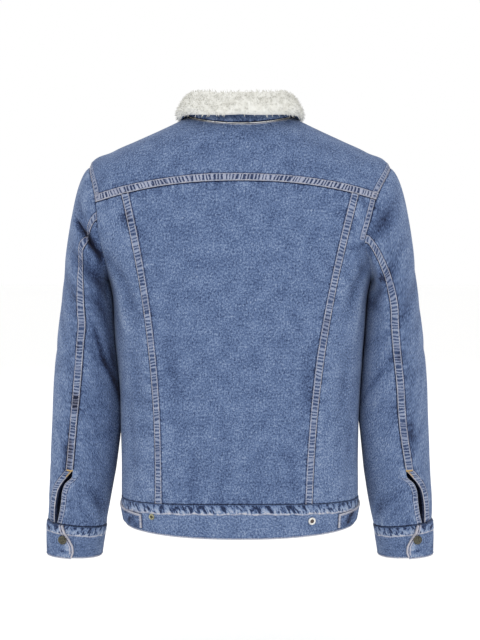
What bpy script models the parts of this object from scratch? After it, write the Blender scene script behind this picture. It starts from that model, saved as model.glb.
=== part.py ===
"""Sherpa lined denim jacket, filled out as if worn, as a Blender 4.5 model.

Lengths are metres. +Z is up, the front faces -Y and +X is the wearer's left. The origin is the
middle of the neck opening, at the height of the neck seam at centre back.

Every cut piece is a thin wall on one of two surfaces: the body, by turn (0 at centre back, a quarter
turn at the wearer's left side) and level (a row of RINGS), and the sleeve, by around (0 on the
outer side, a quarter turn at the back) and down (0 at the armhole, then a row of TUBE).
"""

import math

import bmesh
import bpy
import numpy as np

# ---------------------------------------------------------------- driving sizes
WALL = 0.004  # denim with the backing of its lining
BAND_WALL = 0.0042  # two layers of denim and the layer between them
TRIM_WALL = 0.0026  # tabs and the button band
SEAM_EASE = 0.00015  # each piece stops this far short of its seam
ARMHOLE_EASE = 0.0006  # and a body panel this far short of the sleeve
LAY_GAP = 0.0005  # between a piece and what lies on it
FELL_WIDTH = 0.011  # a felled seam's double-stitched band
FELL_RISE = 0.0011
FELL_SLOPE = 0.0015

# The body's rings, from the hem to the neck seam. side, back and front are the ring's points at the
# wearer's side, centre back and centre front; square is the exponent of its rounded outline.
RINGS = (
    # level, side_x, side_z, back_y, back_z, front_y, front_z, square
    (0, 0.1845, -0.6425, 0.116, -0.6495, 0.114, -0.6455, 2.5),  # hem
    (1, 0.191, -0.600, 0.124, -0.592, 0.120, -0.590, 2.3),  # waistband seam
    (2, 0.191, -0.530, 0.127, -0.526, 0.122, -0.522, 2.3),
    (3, 0.193, -0.440, 0.129, -0.438, 0.124, -0.434, 2.3),
    (4, 0.200, -0.335, 0.131, -0.335, 0.126, -0.330, 2.4),
    (5, 0.209, -0.250, 0.132, -0.250, 0.127, -0.246, 2.5),  # armpit
    (6, 0.247, -0.160, 0.128, -0.168, 0.120, -0.180, 2.6),
    (7, 0.238, -0.0715, 0.113, -0.100, 0.110, -0.136, 2.4),  # shoulder point
    (8, 0.201, -0.0475, 0.102, -0.063, 0.103, -0.114, 2.3),
    (9, 0.160, -0.0287, 0.091, -0.035, 0.098, -0.100, 2.2),
    (10, 0.120, -0.0105, 0.080, -0.014, 0.094, -0.088, 2.1),
    (11, 0.082, 0.008, 0.068, -0.001, 0.090, -0.078, 2.0),  # neck seam
)
WAIST_LEVEL, ARMPIT_LEVEL, NECK_LEVEL = 1, 5, 11

ARMHOLE_MIDDLE_Z = -0.161
ARMHOLE_HALF_HEIGHT = 0.0895
ARMHOLE_BACK = {1: 0.074, -1: 0.088}  # the wearer's left and right: the right is cut further in
ARMHOLE_FRONT = 0.070
ARMHOLE_SWELL = {1: 0.0, -1: 0.0095}  # the right one swells out further at the shoulder blade
ARMHOLE_SWELL_AROUND, ARMHOLE_SWELL_WIDTH = math.radians(110), math.radians(23)

YOKE_Z = -0.089  # the yoke seam at centre back
YOKE_DROP = 0.033  # how much lower it meets the armhole
YOKE_REACH = 0.219
YOKE_CURVE = 2.3
SHOULDER_SEAM_AROUND = math.radians(-18)  # where it meets the armhole, in front of the shoulder point
SHOULDER_SEAM_TURN = math.radians(106)  # where it meets the neck

SLANT_TOP = 0.1835  # the slanting back seams from centre back, at the yoke
SLANT_BOTTOM = 0.1235  # and at the waistband
SLANT_CURVE = 2.1
SLANT_FOOT_Z = -0.594
DRIFT = 0.010  # the centre back has swung this far to the wearer's left by the waistband
DRIFT_FROM_Z, DRIFT_TO_Z = -0.120, -0.592

BAND_EDGE = 0.019  # the button band, to each side of the centre front
BAND_LAP = 0.008  # the band's cloth on the left front
BAND_ENDS = (0.001, 0.0035)  # it stops this far from the waistband and from the neck seam
LEFT_EDGE, RIGHT_EDGE = 0.0193, 0.0170  # the fronts' edges, to the wearer's left of centre
FRONT_BUTTON_Z = (-0.128, -0.235, -0.342, -0.448, -0.555, -0.6175)  # the last is on the waistband

# The sleeve's sections below the armpit. down 8 is the cuff's seam and 10 its lower edge.
TUBE = (
    # down, z, outer_x, inner_x, middle_y, half_depth, tilt, square
    (1, -0.300, 0.2880, 0.2045, 0.000, 0.080, 0.000, 2.1),
    (2, -0.350, 0.2945, 0.1998, -0.002, 0.076, 0.000, 2.1),
    (3, -0.413, 0.3005, 0.1956, -0.006, 0.069, 0.000, 2.1),
    (4, -0.479, 0.3048, 0.1933, -0.012, 0.062, 0.001, 2.1),
    (5, -0.545, 0.3090, 0.1998, -0.019, 0.056, 0.002, 2.1),
    (6, -0.580, 0.3110, 0.2055, -0.023, 0.053, 0.003, 2.1),
    (7, -0.615, 0.3135, 0.2118, -0.027, 0.050, 0.004, 2.1),
    (8, -0.650, 0.3145, 0.2190, -0.030, 0.045, 0.005, 2.1),
    (9, -0.678, 0.3155, 0.2235, -0.031, 0.043, 0.004, 2.1),
    (10, -0.704, 0.3150, 0.2275, -0.032, 0.042, 0.002, 2.1),
)
CUFF_DOWN, CUFF_END = 8, 10

# How the sleeve leaves the armhole: its pull, and its tilt out of the body's surface in degrees.
LEAVE = (
    # around, pull, tilt
    (0, 0.112, 36),
    (45, 0.084, 42),
    (90, 0.048, 50),
    (135, 0.034, 74),
    (180, 0.024, 86),
    (225, 0.034, 74),
    (270, 0.048, 50),
    (315, 0.084, 42),
    (360, 0.112, 36),
)
ARRIVE = 0.85  # the pull of the tube on the cap, as a share of the way between them

# The sleeve's back seam, and its under seam on the inner front.
BACK_SEAM = (
    # down, around left, around right, in degrees
    (0, 84, 106),
    (0.5, 86, 103),
    (1, 95, 104),
    (2, 92, 99),
    (3, 86, 91),
    (4, 79, 86),
    (5, 77, 80),
    (8, 72, 74),
)
UNDER_SEAM = math.radians(215)

# The vent in the back seam: its edges lie outwards of the seam by these lengths.
VENT = (
    # below its top, upper piece, under piece
    (0.000, 0.000, 0.000),
    (0.013, 0.009, 0.001),
    (0.022, 0.015, 0.009),
    (0.034, 0.021, 0.013),
    (0.055, 0.024, 0.013),
    (0.075, 0.024, 0.014),
    (0.095, 0.021, 0.017),
)
VENT_TOP_Z = -0.555

# Creases in the sleeves: a line from one place to another, by around in degrees and height.
LEFT_CREASES = (
    # around, z, around, z, depth, width
    (40, -0.140, 140, -0.222, 0.0075, 0.011),
    (62, -0.205, 150, -0.262, 0.0045, 0.012),
    (20, -0.235, 88, -0.300, 0.0030, 0.014),
    (320, -0.150, 215, -0.232, 0.0070, 0.012),
    (300, -0.262, 225, -0.300, 0.0040, 0.013),
    (235, -0.425, 330, -0.395, 0.0050, 0.014),
    (225, -0.470, 325, -0.465, 0.0040, 0.013),
    (60, -0.420, 110, -0.452, 0.0020, 0.013),
    (105, -0.585, 160, -0.628, 0.0028, 0.009),
    (200, -0.600, 290, -0.622, 0.0030, 0.010),
)
RIGHT_CREASES = (
    # around, z, around, z, depth, width
    (48, -0.134, 138, -0.208, 0.0055, 0.013),
    (78, -0.224, 148, -0.276, 0.0050, 0.011),
    (24, -0.246, 92, -0.316, 0.0028, 0.014),
    (318, -0.156, 218, -0.240, 0.0062, 0.012),
    (302, -0.270, 228, -0.306, 0.0040, 0.013),
    (232, -0.418, 318, -0.388, 0.0036, 0.015),
    (228, -0.486, 316, -0.478, 0.0030, 0.014),
    (62, -0.434, 112, -0.462, 0.0022, 0.013),
    (100, -0.592, 154, -0.632, 0.0028, 0.009),
    (206, -0.604, 284, -0.624, 0.0030, 0.010),
)
CREASES = {1: LEFT_CREASES, -1: RIGHT_CREASES}
CREASE_SPAN = 0.060  # metres of cloth for each radian around the sleeve
CREASE_FADES = (0.25, 0.7)  # they fade out over this much of down at the armhole and at the cuff

BUTTON_SHANK = 0.0012  # height of a button's shank
BUTTON_DOME = 0.35  # and of its cap above that, as a share of its radius
CUFF_RISE = 0.0010  # how far the cuff stands out from the sleeve
CUFF_LAP_RISE = 0.0052
CUFF_UNDER_START = math.radians(44)
CUFF_LAP_EDGE = (
    # share of the way down the cuff, around past a full turn in degrees
    (0.0, 67),
    (0.2, 72),
    (0.5, 87),
    (0.8, 91),
    (1.0, 87),
)
CUFF_BUTTON_AROUND = math.radians(70)
CUFF_BUTTON_DOWN = 8.82
CUFF_BUTTON_RADIUS = 0.0074
CUFF_ROWS = np.linspace(CUFF_DOWN + 0.02, CUFF_END, 6)
CUFF_LAP_RAMP = math.radians(38)

WAIST_RISE = 0.0012
WAIST_LAP_RISE = 0.0050
WAIST_ROWS = (0.992, 0.72, 0.36, 0.0)  # levels, from just under the seam to the hem
WAIST_UNDER_END, WAIST_OVER_END = -3.257, 3.271  # turns of its two ends, past the centre front
WAIST_LAP_RAMP = (2.80, 2.96)  # turns between which it rises onto its other end
TAB_FROM_TURN = math.radians(104)
TAB_TO_X = 0.155
TAB_Z = -0.62
TAB_TOP, TAB_TAPER, TAB_BOTTOM = 0.86, 0.22, 0.14  # levels: its top comes down towards the point
WAIST_BUTTONS = (
    # side, x, z, radius
    ("left", 0.138, -0.6175, 0.0050),
    ("right", -0.112, -0.6215, 0.0062),
)
FRONT_BUTTON_RADIUS = 0.0085

# The collar round the neck: heights and distances from the neck seam.
COLLAR = (
    # turn, rise of the fold, lean of the stand, spread of the leaf, drop of the leaf
    (0, 0.0405, 0.008, 0.016, 0.0275),
    (60, 0.0345, 0.010, 0.015, 0.0295),
    (90, 0.029, 0.012, 0.012, 0.0325),
    (103, 0.029, 0.010, 0.016, 0.0335),
    (115, 0.030, 0.006, 0.024, 0.035),
    (140, 0.030, 0.006, 0.040, 0.046),
    (158, 0.028, 0.005, 0.030, 0.062),
    (180, 0.026, 0.004, 0.022, 0.070),
)
COLLAR_END = math.radians(173)
COLLAR_FOLD = 0.0035  # radius of the fold, to the middle of the under collar
COLLAR_POINT_SPREAD = 0.10  # how far the leaf's points stand back from the centre front
LEAF_BOW = 0.004
UNDER_COLLAR_HALF = 0.0012
SHERPA_FROM, SHERPA_TO = 0.0016, 0.0105
STAND_SEAT = 0.0008

# material: red, green, blue, roughness, metallic
MATERIALS = {
    "denim": (0.105, 0.180, 0.340, 0.85, 0.0),
    "sherpa": (0.80, 0.79, 0.74, 0.95, 0.0),
    "button_metal": (0.19, 0.18, 0.15, 0.4, 0.9),
}

TINY = 1e-4
BACK_RADIUS, FRONT_RADIUS, SIDE_RADIUS = 0.26, 0.20, 0.15  # where a search on the body starts
NEAR_ARMHOLE = 0.0015
TOP_HOLD = 6
PACE_Z = -0.262  # rows of cells level with the armpit cross the panels at this height

# How many cells each stretch has. Pieces that share a seam share these.
SHOULDER_COLUMNS, NECK_COLUMNS, FRONT_NECK_COLUMNS = 5, 14, 8
SIDE_ROWS = 8  # up the side seam
YOKE_ROWS = 5  # up the armhole from the yoke's band to the shoulder seam
BACK_ARMHOLE_ROWS = 7  # from the armpit to the yoke seam, at the back
FRONT_ARMHOLE_ROWS = (2, 7)  # from the armpit to the sleeve's under seam, then to the shoulder seam
BACK_SEAM_ROW = {1: 2, -1: 3}  # rows from the yoke seam down to the sleeve's back seam
SLEEVE_ROWS = np.concatenate(
    [np.linspace(0, 1, 8)[:-1], np.linspace(1, 5, 7)[:-1], [5, 5.3, 5.8, 6.3, 6.9, 7.5, CUFF_DOWN]]
)


# ---------------------------------------------------------------- reading tables
def read(table, at):
    """Smooth values of a table's other columns at any place along its first."""
    table = np.asarray(table, float)
    keys, values = table[:, 0], table[:, 1:]
    at = np.asarray(at, float)
    step = np.diff(keys)[:, None]
    slope = np.diff(values, axis=0) / step
    middle = (slope[:-1] * step[1:] + slope[1:] * step[:-1]) / (step[1:] + step[:-1])
    tangent = np.vstack([slope[:1], middle, slope[-1:]])
    i = np.clip(np.searchsorted(keys, at, side="right") - 1, 0, len(keys) - 2)
    width = (keys[i + 1] - keys[i])[..., None]
    t = (at - keys[i])[..., None] / width
    rest = 1 - t
    return (
        values[i] * rest**2 * (1 + 2 * t)
        + values[i + 1] * t**2 * (3 - 2 * t)
        + tangent[i] * width * t * rest**2
        - tangent[i + 1] * width * t**2 * rest
    )


def unit(vectors):
    return vectors / np.linalg.norm(vectors, axis=-1, keepdims=True)


def outline_reach(turn, square):
    """Distance from the middle to a rounded square's outline of half-width 1."""
    return (np.abs(np.sin(turn)) ** square + np.abs(np.cos(turn)) ** square) ** (-1 / square)


# ---------------------------------------------------------------- the body's surface
def body(turn, level):
    """Points of the body's outer surface."""
    turn, level = np.broadcast_arrays(turn, level)
    side_x, side_z, back_y, back_z, front_y, front_z, square = np.moveaxis(read(RINGS, level), -1, 0)
    reach = outline_reach(turn, square)
    across = reach * np.sin(turn)
    along = reach * np.cos(turn)
    behind = along > 0
    end_z = np.where(behind, back_z, front_z)
    y = along * np.where(behind, back_y, front_y)
    z = end_z + (side_z - end_z) * across**2
    return np.stack([side_x * across, y, z], -1)


def body_normal(turn, level):
    by_turn = body(turn + TINY, level) - body(turn - TINY, level)
    by_level = body(turn, level + TINY) - body(turn, level - TINY)
    return unit(np.cross(by_level, by_turn))


def on_body(wanted, axes, turn, level):
    """Turn and level where two of the body's coordinates have the wanted values."""
    turn, level = np.array(turn, float), np.array(level, float)
    for _ in range(25):
        here = body(turn, level)
        by_turn = (body(turn + TINY, level) - here) / TINY
        by_level = (body(turn, level + TINY) - here) / TINY
        miss = [wanted[k] - here[..., axis] for k, axis in enumerate(axes)]
        a, b = by_turn[..., axes[0]], by_level[..., axes[0]]
        c, d = by_turn[..., axes[1]], by_level[..., axes[1]]
        size = a * d - b * c
        turn += np.clip((d * miss[0] - b * miss[1]) / size, -0.2, 0.2)
        level += np.clip((a * miss[1] - c * miss[0]) / size, -0.5, 0.5)
    return np.stack([turn, level], -1)


def level_near(z, column):
    """The level whose ring has this height in a column of RINGS."""
    rows = np.asarray(RINGS)
    return np.interp(z, rows[:, column], rows[:, 0])


def on_back(x, z):
    level = level_near(z, 4)
    turn = np.arcsin(np.clip(np.asarray(x) / BACK_RADIUS, -0.9, 0.9))
    return on_body((x, z), (0, 2), turn, level)


def on_front(x, z, side):
    level = level_near(z, 6)
    turn = side * math.pi - np.asarray(x) / FRONT_RADIUS
    return on_body((x, z), (0, 2), turn, level)


def armhole_depth(around, side):
    """Half of the armhole's breadth, at the front or at the back."""
    off = (around - ARMHOLE_SWELL_AROUND) / ARMHOLE_SWELL_WIDTH
    back = ARMHOLE_BACK[side] + ARMHOLE_SWELL[side] * np.exp(-(off**2))
    return np.where(np.sin(around) > 0, back, ARMHOLE_FRONT)


def armhole(around, side):
    """Turn and level of the armhole's edge."""
    around = np.asarray(around, float)
    y = armhole_depth(around, side) * np.sin(around)
    z = ARMHOLE_MIDDLE_Z + ARMHOLE_HALF_HEIGHT * np.cos(around)
    start_turn = math.pi / 2 - y / SIDE_RADIUS
    place = on_body((y, z), (1, 2), start_turn, level_near(z, 2))
    place[..., 0] *= side
    return place


# ---------------------------------------------------------------- the sleeve's surface
# The sleeve is worked out on the wearer's left; the right one is turned over by mirrored().
def mirrored(points, side):
    return points * np.array([side, 1, 1])


def yoke_z(x):
    return YOKE_Z - YOKE_DROP * (np.abs(x) / YOKE_REACH) ** YOKE_CURVE


def yoke_meets_armhole(side):
    """The angle around the armhole at which the yoke seam reaches it."""
    around = np.radians(np.linspace(20, 110, 400))
    points = body(*np.moveaxis(armhole(around, side), -1, 0))
    return around[np.argmin(np.abs(points[:, 2] - yoke_z(points[:, 0])))]


def armhole_stations(side):
    """The angles at which body panels and sleeve both have a corner on the armhole's edge.

    They run from the shoulder seam over the back to the armpit and up the front to the start.
    """
    arc = (ARMHOLE_BACK[side] + ARMHOLE_HALF_HEIGHT) / 2
    yoke = yoke_meets_armhole(side)
    fell = yoke - FELL_WIDTH / arc
    slope = fell - FELL_SLOPE / arc
    back_seam = math.radians(BACK_SEAM[0][1 if side > 0 else 2])
    to_seam = BACK_SEAM_ROW[side]
    stretches = (
        (SHOULDER_SEAM_AROUND, slope, YOKE_ROWS),
        (slope, fell, 1),
        (fell, yoke, 1),
        (yoke, back_seam, to_seam),
        (back_seam, math.pi, BACK_ARMHOLE_ROWS - to_seam),
        (math.pi, UNDER_SEAM, FRONT_ARMHOLE_ROWS[0]),
        (UNDER_SEAM, 2 * math.pi + SHOULDER_SEAM_AROUND, FRONT_ARMHOLE_ROWS[1]),
    )
    runs = [np.linspace(start, end, cells + 1)[:-1] for start, end, cells in stretches]
    return np.concatenate(runs + [[stretches[-1][1]]])


STATIONS = {side: armhole_stations(side) for side in (1, -1)}
YOKE_STATION = YOKE_ROWS + 2
ARMPIT_STATION = YOKE_STATION + BACK_ARMHOLE_ROWS


def edge_frame(side):
    """Points of an armhole's corners, the body's normals there and the ways into the hole."""
    place = armhole(STATIONS[side], side) * [side, 1]
    points = body(place[:, 0], place[:, 1])
    normals = body_normal(place[:, 0], place[:, 1])
    last = len(points) - 1
    run = points[np.r_[1 : last + 1, 1]] - points[np.r_[last - 1, 0:last]]
    return np.hstack([points, normals, unit(np.cross(run, normals))])


EDGES = {side: edge_frame(side) for side in (1, -1)}


def read_edge(side, around):
    """A point of the armhole's edge, the body's normal and the way into the hole."""
    around = np.mod(around - SHOULDER_SEAM_AROUND, 2 * math.pi) + SHOULDER_SEAM_AROUND
    frame = np.stack([np.interp(around, STATIONS[side], column) for column in EDGES[side].T], -1)
    return frame[..., :3], unit(frame[..., 3:6]), unit(frame[..., 6:])


def leaving(around):
    """Pull of the armhole on the sleeve, and its tilt out of the body's surface."""
    pull, tilt = np.moveaxis(read(LEAVE, np.degrees(np.mod(around, 2 * math.pi))), -1, 0)
    return pull[..., None], np.radians(tilt)[..., None]


def tube(around, down):
    """Points of the sleeve below the armpit."""
    z, outer_x, inner_x, middle_y, half_depth, tilt, square = np.moveaxis(read(TUBE, down), -1, 0)
    reach = outline_reach(around, square)
    out = reach * np.cos(around)
    x = (outer_x + inner_x) / 2 + (outer_x - inner_x) / 2 * out
    y = middle_y + half_depth * reach * np.sin(around)
    return np.stack([x, y, z + tilt * out], -1)


def tube_normal(around, down):
    by_around = tube(around + TINY, down) - tube(around - TINY, down)
    by_down = tube(around, down + TINY) - tube(around, down - TINY)
    return unit(np.cross(by_down, by_around))


def plain_sleeve(side, around, down):
    """The sleeve with no creases."""
    around, down = np.broadcast_arrays(around, down)
    below = tube(around, np.maximum(down, 1.0))
    t = np.clip(down, 0, 1)[..., None]
    start, normal, inside = read_edge(side, around)
    pull, tilt = leaving(around)
    leave = pull * (np.cos(tilt) * inside + np.sin(tilt) * normal)
    finish = tube(around, np.ones_like(around))
    pull = ARRIVE * np.linalg.norm(finish - start, axis=-1, keepdims=True)
    arrive = pull * unit(tube(around, np.ones_like(around) + TINY) - finish)
    cap = (
        start * (1 - t) ** 2 * (1 + 2 * t)
        + finish * t**2 * (3 - 2 * t)
        + leave * t * (1 - t) ** 2
        - arrive * t**2 * (1 - t)
    )
    return np.where(t < 1, cap, below)


def sleeve_normal(surface, side, around, down):
    by_around = surface(side, around + TINY, down) - surface(side, around - TINY, down)
    by_down = surface(side, around, down + TINY) - surface(side, around, np.maximum(down - TINY, 0))
    return unit(np.cross(by_down, by_around))


def crease_depth(side, around, z):
    """How far the creases draw the sleeve in."""
    cloth = np.mod(around, 2 * math.pi) * CREASE_SPAN
    total = np.zeros_like(z)
    for around_a, z_a, around_b, z_b, depth, width in CREASES[side]:
        a = np.array([math.radians(around_a) * CREASE_SPAN, z_a])
        b = np.array([math.radians(around_b) * CREASE_SPAN, z_b])
        run = b - a
        share = ((cloth - a[0]) * run[0] + (z - a[1]) * run[1]) / (run @ run)
        held = np.clip(share, 0, 1)
        off = np.hypot(cloth - a[0] - held * run[0], z - a[1] - held * run[1])
        fade = np.sin(math.pi * np.clip(held * 0.9 + 0.05, 0, 1)) ** 0.6
        total += depth * fade * np.exp(-((off / width) ** 2))
    return total


def sleeve(side, around, down):
    """Points of the sleeve's outer surface."""
    around, down = np.broadcast_arrays(around, down)
    plain = plain_sleeve(side, around, down)
    above, below = CREASE_FADES
    fade = np.clip(down / above, 0, 1) * np.clip((CUFF_DOWN - down) / below, 0, 1)
    depth = crease_depth(side, around, plain[..., 2]) * fade
    return plain - sleeve_normal(plain_sleeve, side, around, down) * depth[..., None]


def mitre(side, around):
    """Inward step that a body panel and the sleeve share at the armhole's edge."""
    _, normal, inside = read_edge(side, around)
    _, tilt = leaving(around)
    both = unit(normal * (1 + np.cos(tilt)) - inside * np.sin(tilt))
    return -both / np.cos(tilt / 2)


def armhole_steps(side, points):
    """The mitre and the way into the hole nearest to points, and how far the armhole's edge is."""
    y, z = points[..., 1], points[..., 2]
    around = np.sign(y) * math.pi / 2
    for _ in range(4):
        depth = armhole_depth(around, side)
        around = np.arctan2(y / depth, (z - ARMHOLE_MIDDLE_Z) / ARMHOLE_HALF_HEIGHT)
    edge, _, inside = read_edge(side, around)
    return mitre(side, around), inside, np.linalg.norm(edge - points, axis=-1)


# ---------------------------------------------------------------- grids of a cut piece
def measured(path):
    """A path of turns and levels, with the share of its length on the body at each place."""
    points = body(path[:, 0], path[:, 1])
    length = np.concatenate([[0], np.cumsum(np.linalg.norm(np.diff(points, axis=0), axis=1))])
    return np.column_stack([path, length / length[-1]])


def join(paths, cells):
    """Measured paths end to end, each over its own number of cells."""
    rows, start = [], 0.0
    for path, count in zip(paths, cells):
        path = path.copy()
        path[:, 2] = start + path[:, 2] * count / sum(cells)
        start = path[-1, 2]
        rows.append(path if not rows else path[1:])
    return np.vstack(rows)


def paced(path, cells):
    """A measured path whose first cells end level with the armpit."""
    z = body(path[:, 0], path[:, 1])[:, 2]
    at_armpit = np.interp(PACE_Z, z, path[:, 2])
    paced_share = np.interp(path[:, 2], [0, at_armpit, 1], [0, cells[0] / sum(cells), 1])
    return np.column_stack([path[:, :2], paced_share])


def along(path, share):
    return np.stack([np.interp(share, path[:, 2], path[:, k]) for k in range(2)], -1)


def patch(bottom, top, left, right, u, t, hold=1):
    """Turns and levels inside four paths that meet at their ends.

    A larger hold keeps the bends of the bottom and top paths nearer to the top.
    """
    corner = [path[end, :2] for path in (bottom, top) for end in (0, -1)]
    us, ts = u[..., None], t[..., None] ** hold
    across = (1 - ts) * along(bottom, u) + ts * along(top, u)
    up = (1 - us) * along(left, t) + us * along(right, t)
    lower = (1 - us) * corner[0] + us * corner[1]
    upper = (1 - us) * corner[2] + us * corner[3]
    return across + up - (1 - ts) * lower - ts * upper


def spread(length, cells, fell_first=False, fell_last=False):
    """Shares of a length for evenly spaced lines, with two more at each felled edge, and their rise."""
    first = [0, FELL_WIDTH, FELL_WIDTH + FELL_SLOPE] if fell_first else [0]
    last = [FELL_WIDTH + FELL_SLOPE, FELL_WIDTH, 0] if fell_last else [0]
    length = np.atleast_1d(length)[:, None]
    begin = first[-1] / length
    finish = 1 - last[0] / length
    even = begin + (finish - begin) * np.linspace(0, 1, cells + 1)[None, 1:-1]
    shares = np.hstack([np.array(first)[None] / length, even, 1 - np.array(last)[None] / length])
    rise = [FELL_RISE, FELL_RISE, 0] if fell_first else [0]
    rise += [0] * (cells - 1)
    rise += [0, FELL_RISE, FELL_RISE] if fell_last else [0]
    return shares, np.array(rise)


def path_length(path):
    points = body(path[:, 0], path[:, 1])
    return np.linalg.norm(np.diff(points, axis=0), axis=1).sum()


def drawn_in(grid, ease=SEAM_EASE):
    """The grid with its outer lines moved in from the seams."""
    grid = grid.copy()
    for axis in (0, 1):
        lines = np.swapaxes(grid, 0, axis)
        for edge, beside in ((0, 1), (-1, -2)):
            lines[edge] += ease * unit(lines[beside] - lines[edge])
    return grid


# ---------------------------------------------------------------- meshes
def material(name):
    found = bpy.data.materials.get(name)
    if found:
        return found
    red, green, blue, roughness, metallic = MATERIALS[name]
    made = bpy.data.materials.new(name)
    made.use_nodes = True
    shader = made.node_tree.nodes["Principled BSDF"]
    shader.inputs["Base Color"].default_value = (red, green, blue, 1)
    shader.inputs["Roughness"].default_value = roughness
    shader.inputs["Metallic"].default_value = metallic
    made.diffuse_color = (red, green, blue, 1)
    return made


def add_object(name, mesh, finish):
    mesh.materials.append(material(finish))
    mesh.shade_smooth()
    mesh.set_sharp_from_angle(angle=math.radians(40))
    made = bpy.data.objects.new(name, mesh)
    bpy.context.scene.collection.objects.link(made)
    return made


def folded_in(shape, outer, inner, front, back, here, there):
    """Two triangles of a wall's edge, folded towards the wall so that neighbours can't cross."""
    beside = [tuple(np.clip(place, 1, np.array(outer.shape[:2]) - 2)) for place in (here, there)]
    inwards = outer[beside[0]] + outer[beside[1]] - outer[here] - outer[there]
    across = np.cross(inner[there] - outer[here], inner[here] - outer[there])
    fold = (outer[here] + inner[there] - outer[there] - inner[here]) @ across * (across @ inwards)
    corners = [grid[j][i] for grid, (j, i) in ((front, here), (front, there), (back, there), (back, here))]
    if fold < 0:
        corners = corners[1:] + corners[:1]
    shape.faces.new(corners[:3])
    shape.faces.new([corners[2], corners[3], corners[0]])


def wall(name, outer, inner, finish="denim"):
    """A closed wall between two grids of the same size."""
    rows, columns = outer.shape[:2]
    shape = bmesh.new()
    front = [[shape.verts.new(p) for p in row] for row in outer]
    back = [[shape.verts.new(p) for p in row] for row in inner]
    for j in range(rows - 1):
        for i in range(columns - 1):
            for side in (front, back):
                shape.faces.new((side[j][i], side[j][i + 1], side[j + 1][i + 1], side[j + 1][i]))
    rim = [(0, i) for i in range(columns)]
    rim += [(j, columns - 1) for j in range(1, rows)]
    rim += [(rows - 1, i) for i in range(columns - 2, -1, -1)]
    rim += [(j, 0) for j in range(rows - 2, 0, -1)]
    for here, there in zip(rim, rim[1:] + rim[:1]):
        folded_in(shape, outer, inner, front, back, here, there)
    bmesh.ops.recalc_face_normals(shape, faces=shape.faces)
    bmesh.ops.triangulate(shape, faces=shape.faces)
    mesh = bpy.data.meshes.new(name)
    shape.to_mesh(mesh)
    shape.free()
    return add_object(name, mesh, finish)


def body_piece(name, place, rise, thickness=WALL):
    """A wall on the body, from turns and levels and the rise of its outer side."""
    points = body(place[..., 0], place[..., 1])
    normals = body_normal(place[..., 0], place[..., 1])
    inward = -normals * thickness
    edge = np.zeros(points.shape[:2], bool)
    edge[[0, -1]] = True
    edge[:, [0, -1]] = True
    ease = np.zeros_like(points)
    for side in (1, -1):
        steps, inside, distance = armhole_steps(side, mirrored(points, side))
        at_armhole = (edge & (distance < NEAR_ARMHOLE))[..., None]
        inward = np.where(at_armhole, mirrored(steps, side) * thickness, inward)
        ease = np.where(at_armhole, -mirrored(inside, side) * ARMHOLE_EASE, ease)
    outer = drawn_in(points + normals * rise[..., None])
    return wall(name, outer + ease, drawn_in(points + inward) + ease)


def laid_piece(name, place, lift, thickness, finish="denim"):
    """A strip that lies on the body, lifted off its surface."""
    points = body(place[..., 0], place[..., 1])
    normals = body_normal(place[..., 0], place[..., 1])
    lift = np.broadcast_to(lift, points.shape[:2])[..., None]
    return wall(name, points + normals * (lift + thickness), points + normals * lift, finish)


# ---------------------------------------------------------------- seams of the body
def drift(z):
    """How far the centre back has swung to the wearer's left at this height."""
    return DRIFT * np.clip((DRIFT_FROM_Z - z) / (DRIFT_FROM_Z - DRIFT_TO_Z), 0, 1)


def yoke_seam(x_from, x_to, count=120):
    x = np.linspace(x_from, x_to, count)
    return measured(on_back(x, yoke_z(x)))


def slant_seam(side, count=120):
    """From the waistband up to the yoke."""
    top_z = yoke_z(SLANT_TOP)
    t = np.linspace(1, 0, count)
    z = top_z + t * (SLANT_FOOT_Z - top_z)
    x = side * (SLANT_BOTTOM + (SLANT_TOP - SLANT_BOTTOM) * (1 - t) ** SLANT_CURVE) + drift(z)
    path = on_back(x, z)
    foot = path[0].copy()
    foot[1] = WAIST_LEVEL
    return measured(np.vstack([foot, path[path[:, 1] > WAIST_LEVEL + 0.02]]))


def side_seam(side):
    levels = np.linspace(WAIST_LEVEL, ARMPIT_LEVEL, 60)
    return measured(np.stack([np.full(60, side * math.pi / 2), levels], -1))


def armhole_run(side, first, last):
    """The armhole's corners from one station to another, one to a cell."""
    step = 1 if last > first else -1
    stations = STATIONS[side][np.arange(first, last + step, step)]
    return np.column_stack([armhole(stations, side), np.linspace(0, 1, len(stations))])


def level_run(level, turn_from, turn_to):
    turns = np.linspace(turn_from, turn_to, 120)
    return measured(np.stack([turns, np.full(120, float(level))], -1))


def straight_run(start, end):
    return start + (end - start) * np.linspace(0, 1, 60)[:, None]


def shoulder_seam(side):
    """From the armhole to the neck."""
    start = armhole(STATIONS[side][:1], side)[0]
    return measured(straight_run(start, np.array([side * SHOULDER_SEAM_TURN, NECK_LEVEL])))


# ---------------------------------------------------------------- body panels
def even_grid(columns, rows):
    t, u = np.linspace(0, 1, rows + 1)[:, None], np.linspace(0, 1, columns + 1)[None]
    return np.broadcast_arrays(u, t)


def back_centre(columns=13):
    cells = (SIDE_ROWS, BACK_ARMHOLE_ROWS)
    left, right = paced(slant_seam(1), cells), paced(slant_seam(-1), cells)
    bottom = level_run(WAIST_LEVEL, left[0, 0], right[0, 0])
    top = yoke_seam(body(*left[-1, :2])[0], body(*right[-1, :2])[0])
    t = np.linspace(0, 1, sum(cells) + 1)
    widths = [path_length(straight_run(a, b)) for a, b in zip(along(left, t), along(right, t))]
    u, rise = spread(np.array(widths), columns, True, True)
    t = np.broadcast_to(t[:, None], u.shape)
    place = patch(bottom, top, left, right, u, t)
    body_piece("back_centre", place, np.broadcast_to(rise, u.shape))


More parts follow.
